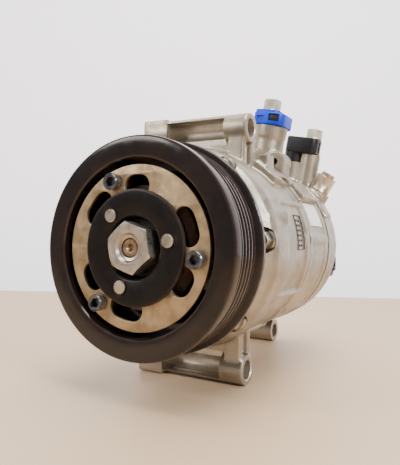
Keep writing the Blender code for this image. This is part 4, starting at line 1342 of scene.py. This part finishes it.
    def data_field(self) -> None:
        """Makes the unlettered data field on the front housing, and the blank label."""
        shaft = self.shop.shaft
        front, rear, low, high = 86.0, 98.5, -1.0, 21.0
        radii = (53.5, 55.35)
        line, turn_line = 0.5, 0.6
        fields = [Field((front, front + line), (low, high), radii),
                  Field((rear - line, rear), (low, high), radii),
                  Field((front + line, rear - line), (low, low + turn_line), radii),
                  Field((front + line, rear - line), (high - turn_line, high), radii)]
        rows, bar = 6, 1.3
        for row in range(rows):
            start = low + 2.2 + (high - low - 3.4) * row / rows
            for near, far in ((front + 2.0, front + 5.0), (front + 6.6, rear - 2.0)):
                fields.append(Field((near, far), (start, start + bar), radii))
        builder = bmesh.new()
        for shape in fields:
            shape.add(builder, shaft)
        self.mount(from_builder("unlettered_data_field", builder), ETCHED, "cast_aluminium")
        builder = bmesh.new()
        Field((114.4, 140.5), (14.5, 30.5), (54.9, 55.95)).add(builder, shaft, 24)
        self.mount(from_builder("blank_label", builder), PAPER, "white_label", "label")


# ---------------------------------------------------------------- studio


@dataclass(frozen=True)
class Studio:
    """The floor, the wall, the lights and the camera.

    Attributes:
        eye: The camera's place, in metres.
        yaw: How far it is turned to its left, in degrees.
        pitch: How far it looks up, in degrees.
        roll: Its roll, in degrees.
        lens: Its focal length, for a 36 mm sensor.
        shift: How far the picture is moved, to the right and up, in picture widths.
        wall: How far the wall stands from the eye, in metres.
    """

    eye: tuple[float, float, float] = (0.14352, -0.29335, 0.08429)
    yaw: float = 29.37
    pitch: float = 1.746
    roll: float = 1.163
    lens: float = 38.71
    shift: tuple[float, float] = (0.0157, -0.0297)
    wall: float = 0.70

    def aim(self) -> Matrix:
        """Gives the camera's turn."""
        yaw, pitch, roll = (math.radians(v) for v in (self.yaw, self.pitch, self.roll))
        ahead = Vector((-math.sin(yaw) * math.cos(pitch), math.cos(yaw) * math.cos(pitch), math.sin(pitch)))
        level = Vector((math.cos(yaw), math.sin(yaw), 0))
        above = level.cross(ahead)
        right = math.cos(roll) * level + math.sin(roll) * above
        up = -math.sin(roll) * level + math.cos(roll) * above
        return Matrix((right, up, -ahead)).transposed()

    def camera(self) -> None:
        """Sets up the camera."""
        data = bpy.data.cameras.new("camera")
        data.sensor_width = 36.0
        data.lens = self.lens
        data.shift_x, data.shift_y = self.shift
        data.clip_start = 0.01
        made = bpy.data.objects.new("camera", data)
        made.matrix_world = Matrix.Translation(self.eye) @ self.aim().to_4x4()
        bpy.context.scene.collection.objects.link(made)
        bpy.context.scene.camera = made

    def surface(self, name: str, colour: tuple[float, float, float], roughness: float,
                corners: list[tuple[float, float, float]], glow: float = 0.0) -> None:
        """Makes one plain surface of the set.

        Args:
            name: Its name.
            colour: Its colour.
            roughness: Its roughness.
            corners: Its corners, in metres.
            glow: How brightly it shines by itself.
        """
        mesh = bpy.data.meshes.new(name)
        mesh.from_pydata(corners, [], [tuple(range(len(corners)))])
        made = adopt(name, mesh)
        material = bpy.data.materials.new(name)
        material.use_nodes = True
        shader = material.node_tree.nodes["Principled BSDF"]
        shader.inputs["Base Color"].default_value = (*colour, 1.0)
        shader.inputs["Roughness"].default_value = roughness
        shader.inputs["Emission Color"].default_value = (*colour, 1.0)
        shader.inputs["Emission Strength"].default_value = glow
        mesh.materials.append(material)

    def set_pieces(self) -> None:
        """Makes the floor and the wall behind it."""
        yaw = math.radians(self.yaw)
        ahead = Vector((-math.sin(yaw), math.cos(yaw), 0))
        side = Vector((math.cos(yaw), math.sin(yaw), 0))
        eye = Vector((self.eye[0], self.eye[1], 0))
        far = eye + ahead * self.wall
        self.surface("floor", (0.56, 0.40, 0.25), 0.5,
                     [tuple(far + side * 1.6), tuple(far - side * 1.6),
                      tuple(eye - ahead * 1.2 - side * 1.6), tuple(eye - ahead * 1.2 + side * 1.6)])
        behind = far + ahead * 0.1
        low, high = Vector((0, 0, -0.6)), Vector((0, 0, 2.2))
        self.surface("wall", (0.86, 0.85, 0.88), 0.8,
                     [tuple(behind - side * 3 + low), tuple(behind + side * 3 + low),
                      tuple(behind + side * 3 + high), tuple(behind - side * 3 + high)], glow=1.1)

    def light(self, name: str, place: tuple[float, float, float], size: float, power: float,
              colour: tuple[float, float, float]) -> None:
        """Makes one soft light that points at the compressor.

        Args:
            name: Its name.
            place: Its place, in metres.
            size: The length of its side, in metres.
            power: Its power, in watts.
            colour: Its colour.
        """
        data = bpy.data.lights.new(name, "AREA")
        data.size = size
        data.energy = power
        data.color = colour
        made = bpy.data.objects.new(name, data)
        aim = Vector((0, 0, 0.08)) - Vector(place)
        made.matrix_world = Matrix.Translation(place) @ aim.to_track_quat("-Z", "Y").to_matrix().to_4x4()
        bpy.context.scene.collection.objects.link(made)

    def lights(self) -> None:
        """Makes the soft lights and the pale surroundings."""
        world = bpy.data.worlds.new("studio")
        world.use_nodes = True
        shade = world.node_tree.nodes["Background"]
        shade.inputs["Color"].default_value = (0.93, 0.94, 1.0, 1.0)
        shade.inputs["Strength"].default_value = 0.5
        bpy.context.scene.world = world
        self.light("overhead", (0.15, -0.1, 0.9), 0.6, 13.0, (1.0, 0.97, 0.92))
        self.light("right_window", (0.8, -0.35, 0.5), 0.22, 9.0, (0.95, 0.97, 1.0))
        self.light("front_left", (-0.6, -0.8, 0.6), 0.4, 7.0, (1.0, 0.95, 0.9))

    def build(self) -> None:
        """Sets up the whole studio."""
        self.camera()
        self.set_pieces()
        self.lights()


# ---------------------------------------------------------------- making


INNER_FINISHES = {
    "bearing_ball_cage": STEEL, "control_valve_spool": STEEL, "hinge_pin": STEEL,
    "bearing_snap_ring": STEEL, "front_radial_bearing": STEEL, "front_thrust_bearing": STEEL,
    "rear_radial_bearing": STEEL, "shaft_seal": RUBBER, "lug_plate": STEEL,
    "swash_plate": STEEL, "return_spring": STEEL,
    **{f"piston_{number}": MACHINED for number in range(1, 8)},
}


def main() -> None:
    """Builds the compressor's pieces in order, and its studio."""
    logging.basicConfig(level=logging.INFO, format="%(message)s")
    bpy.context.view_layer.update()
    shop = Workshop(Shaft.from_frame())
    Studio().build()
    for part in (DriveEnd(shop), Casings(shop, finishes=INNER_FINISHES), Fittings(shop)):
        part.build()
        part.dress()


if __name__ == "__main__":
    main()
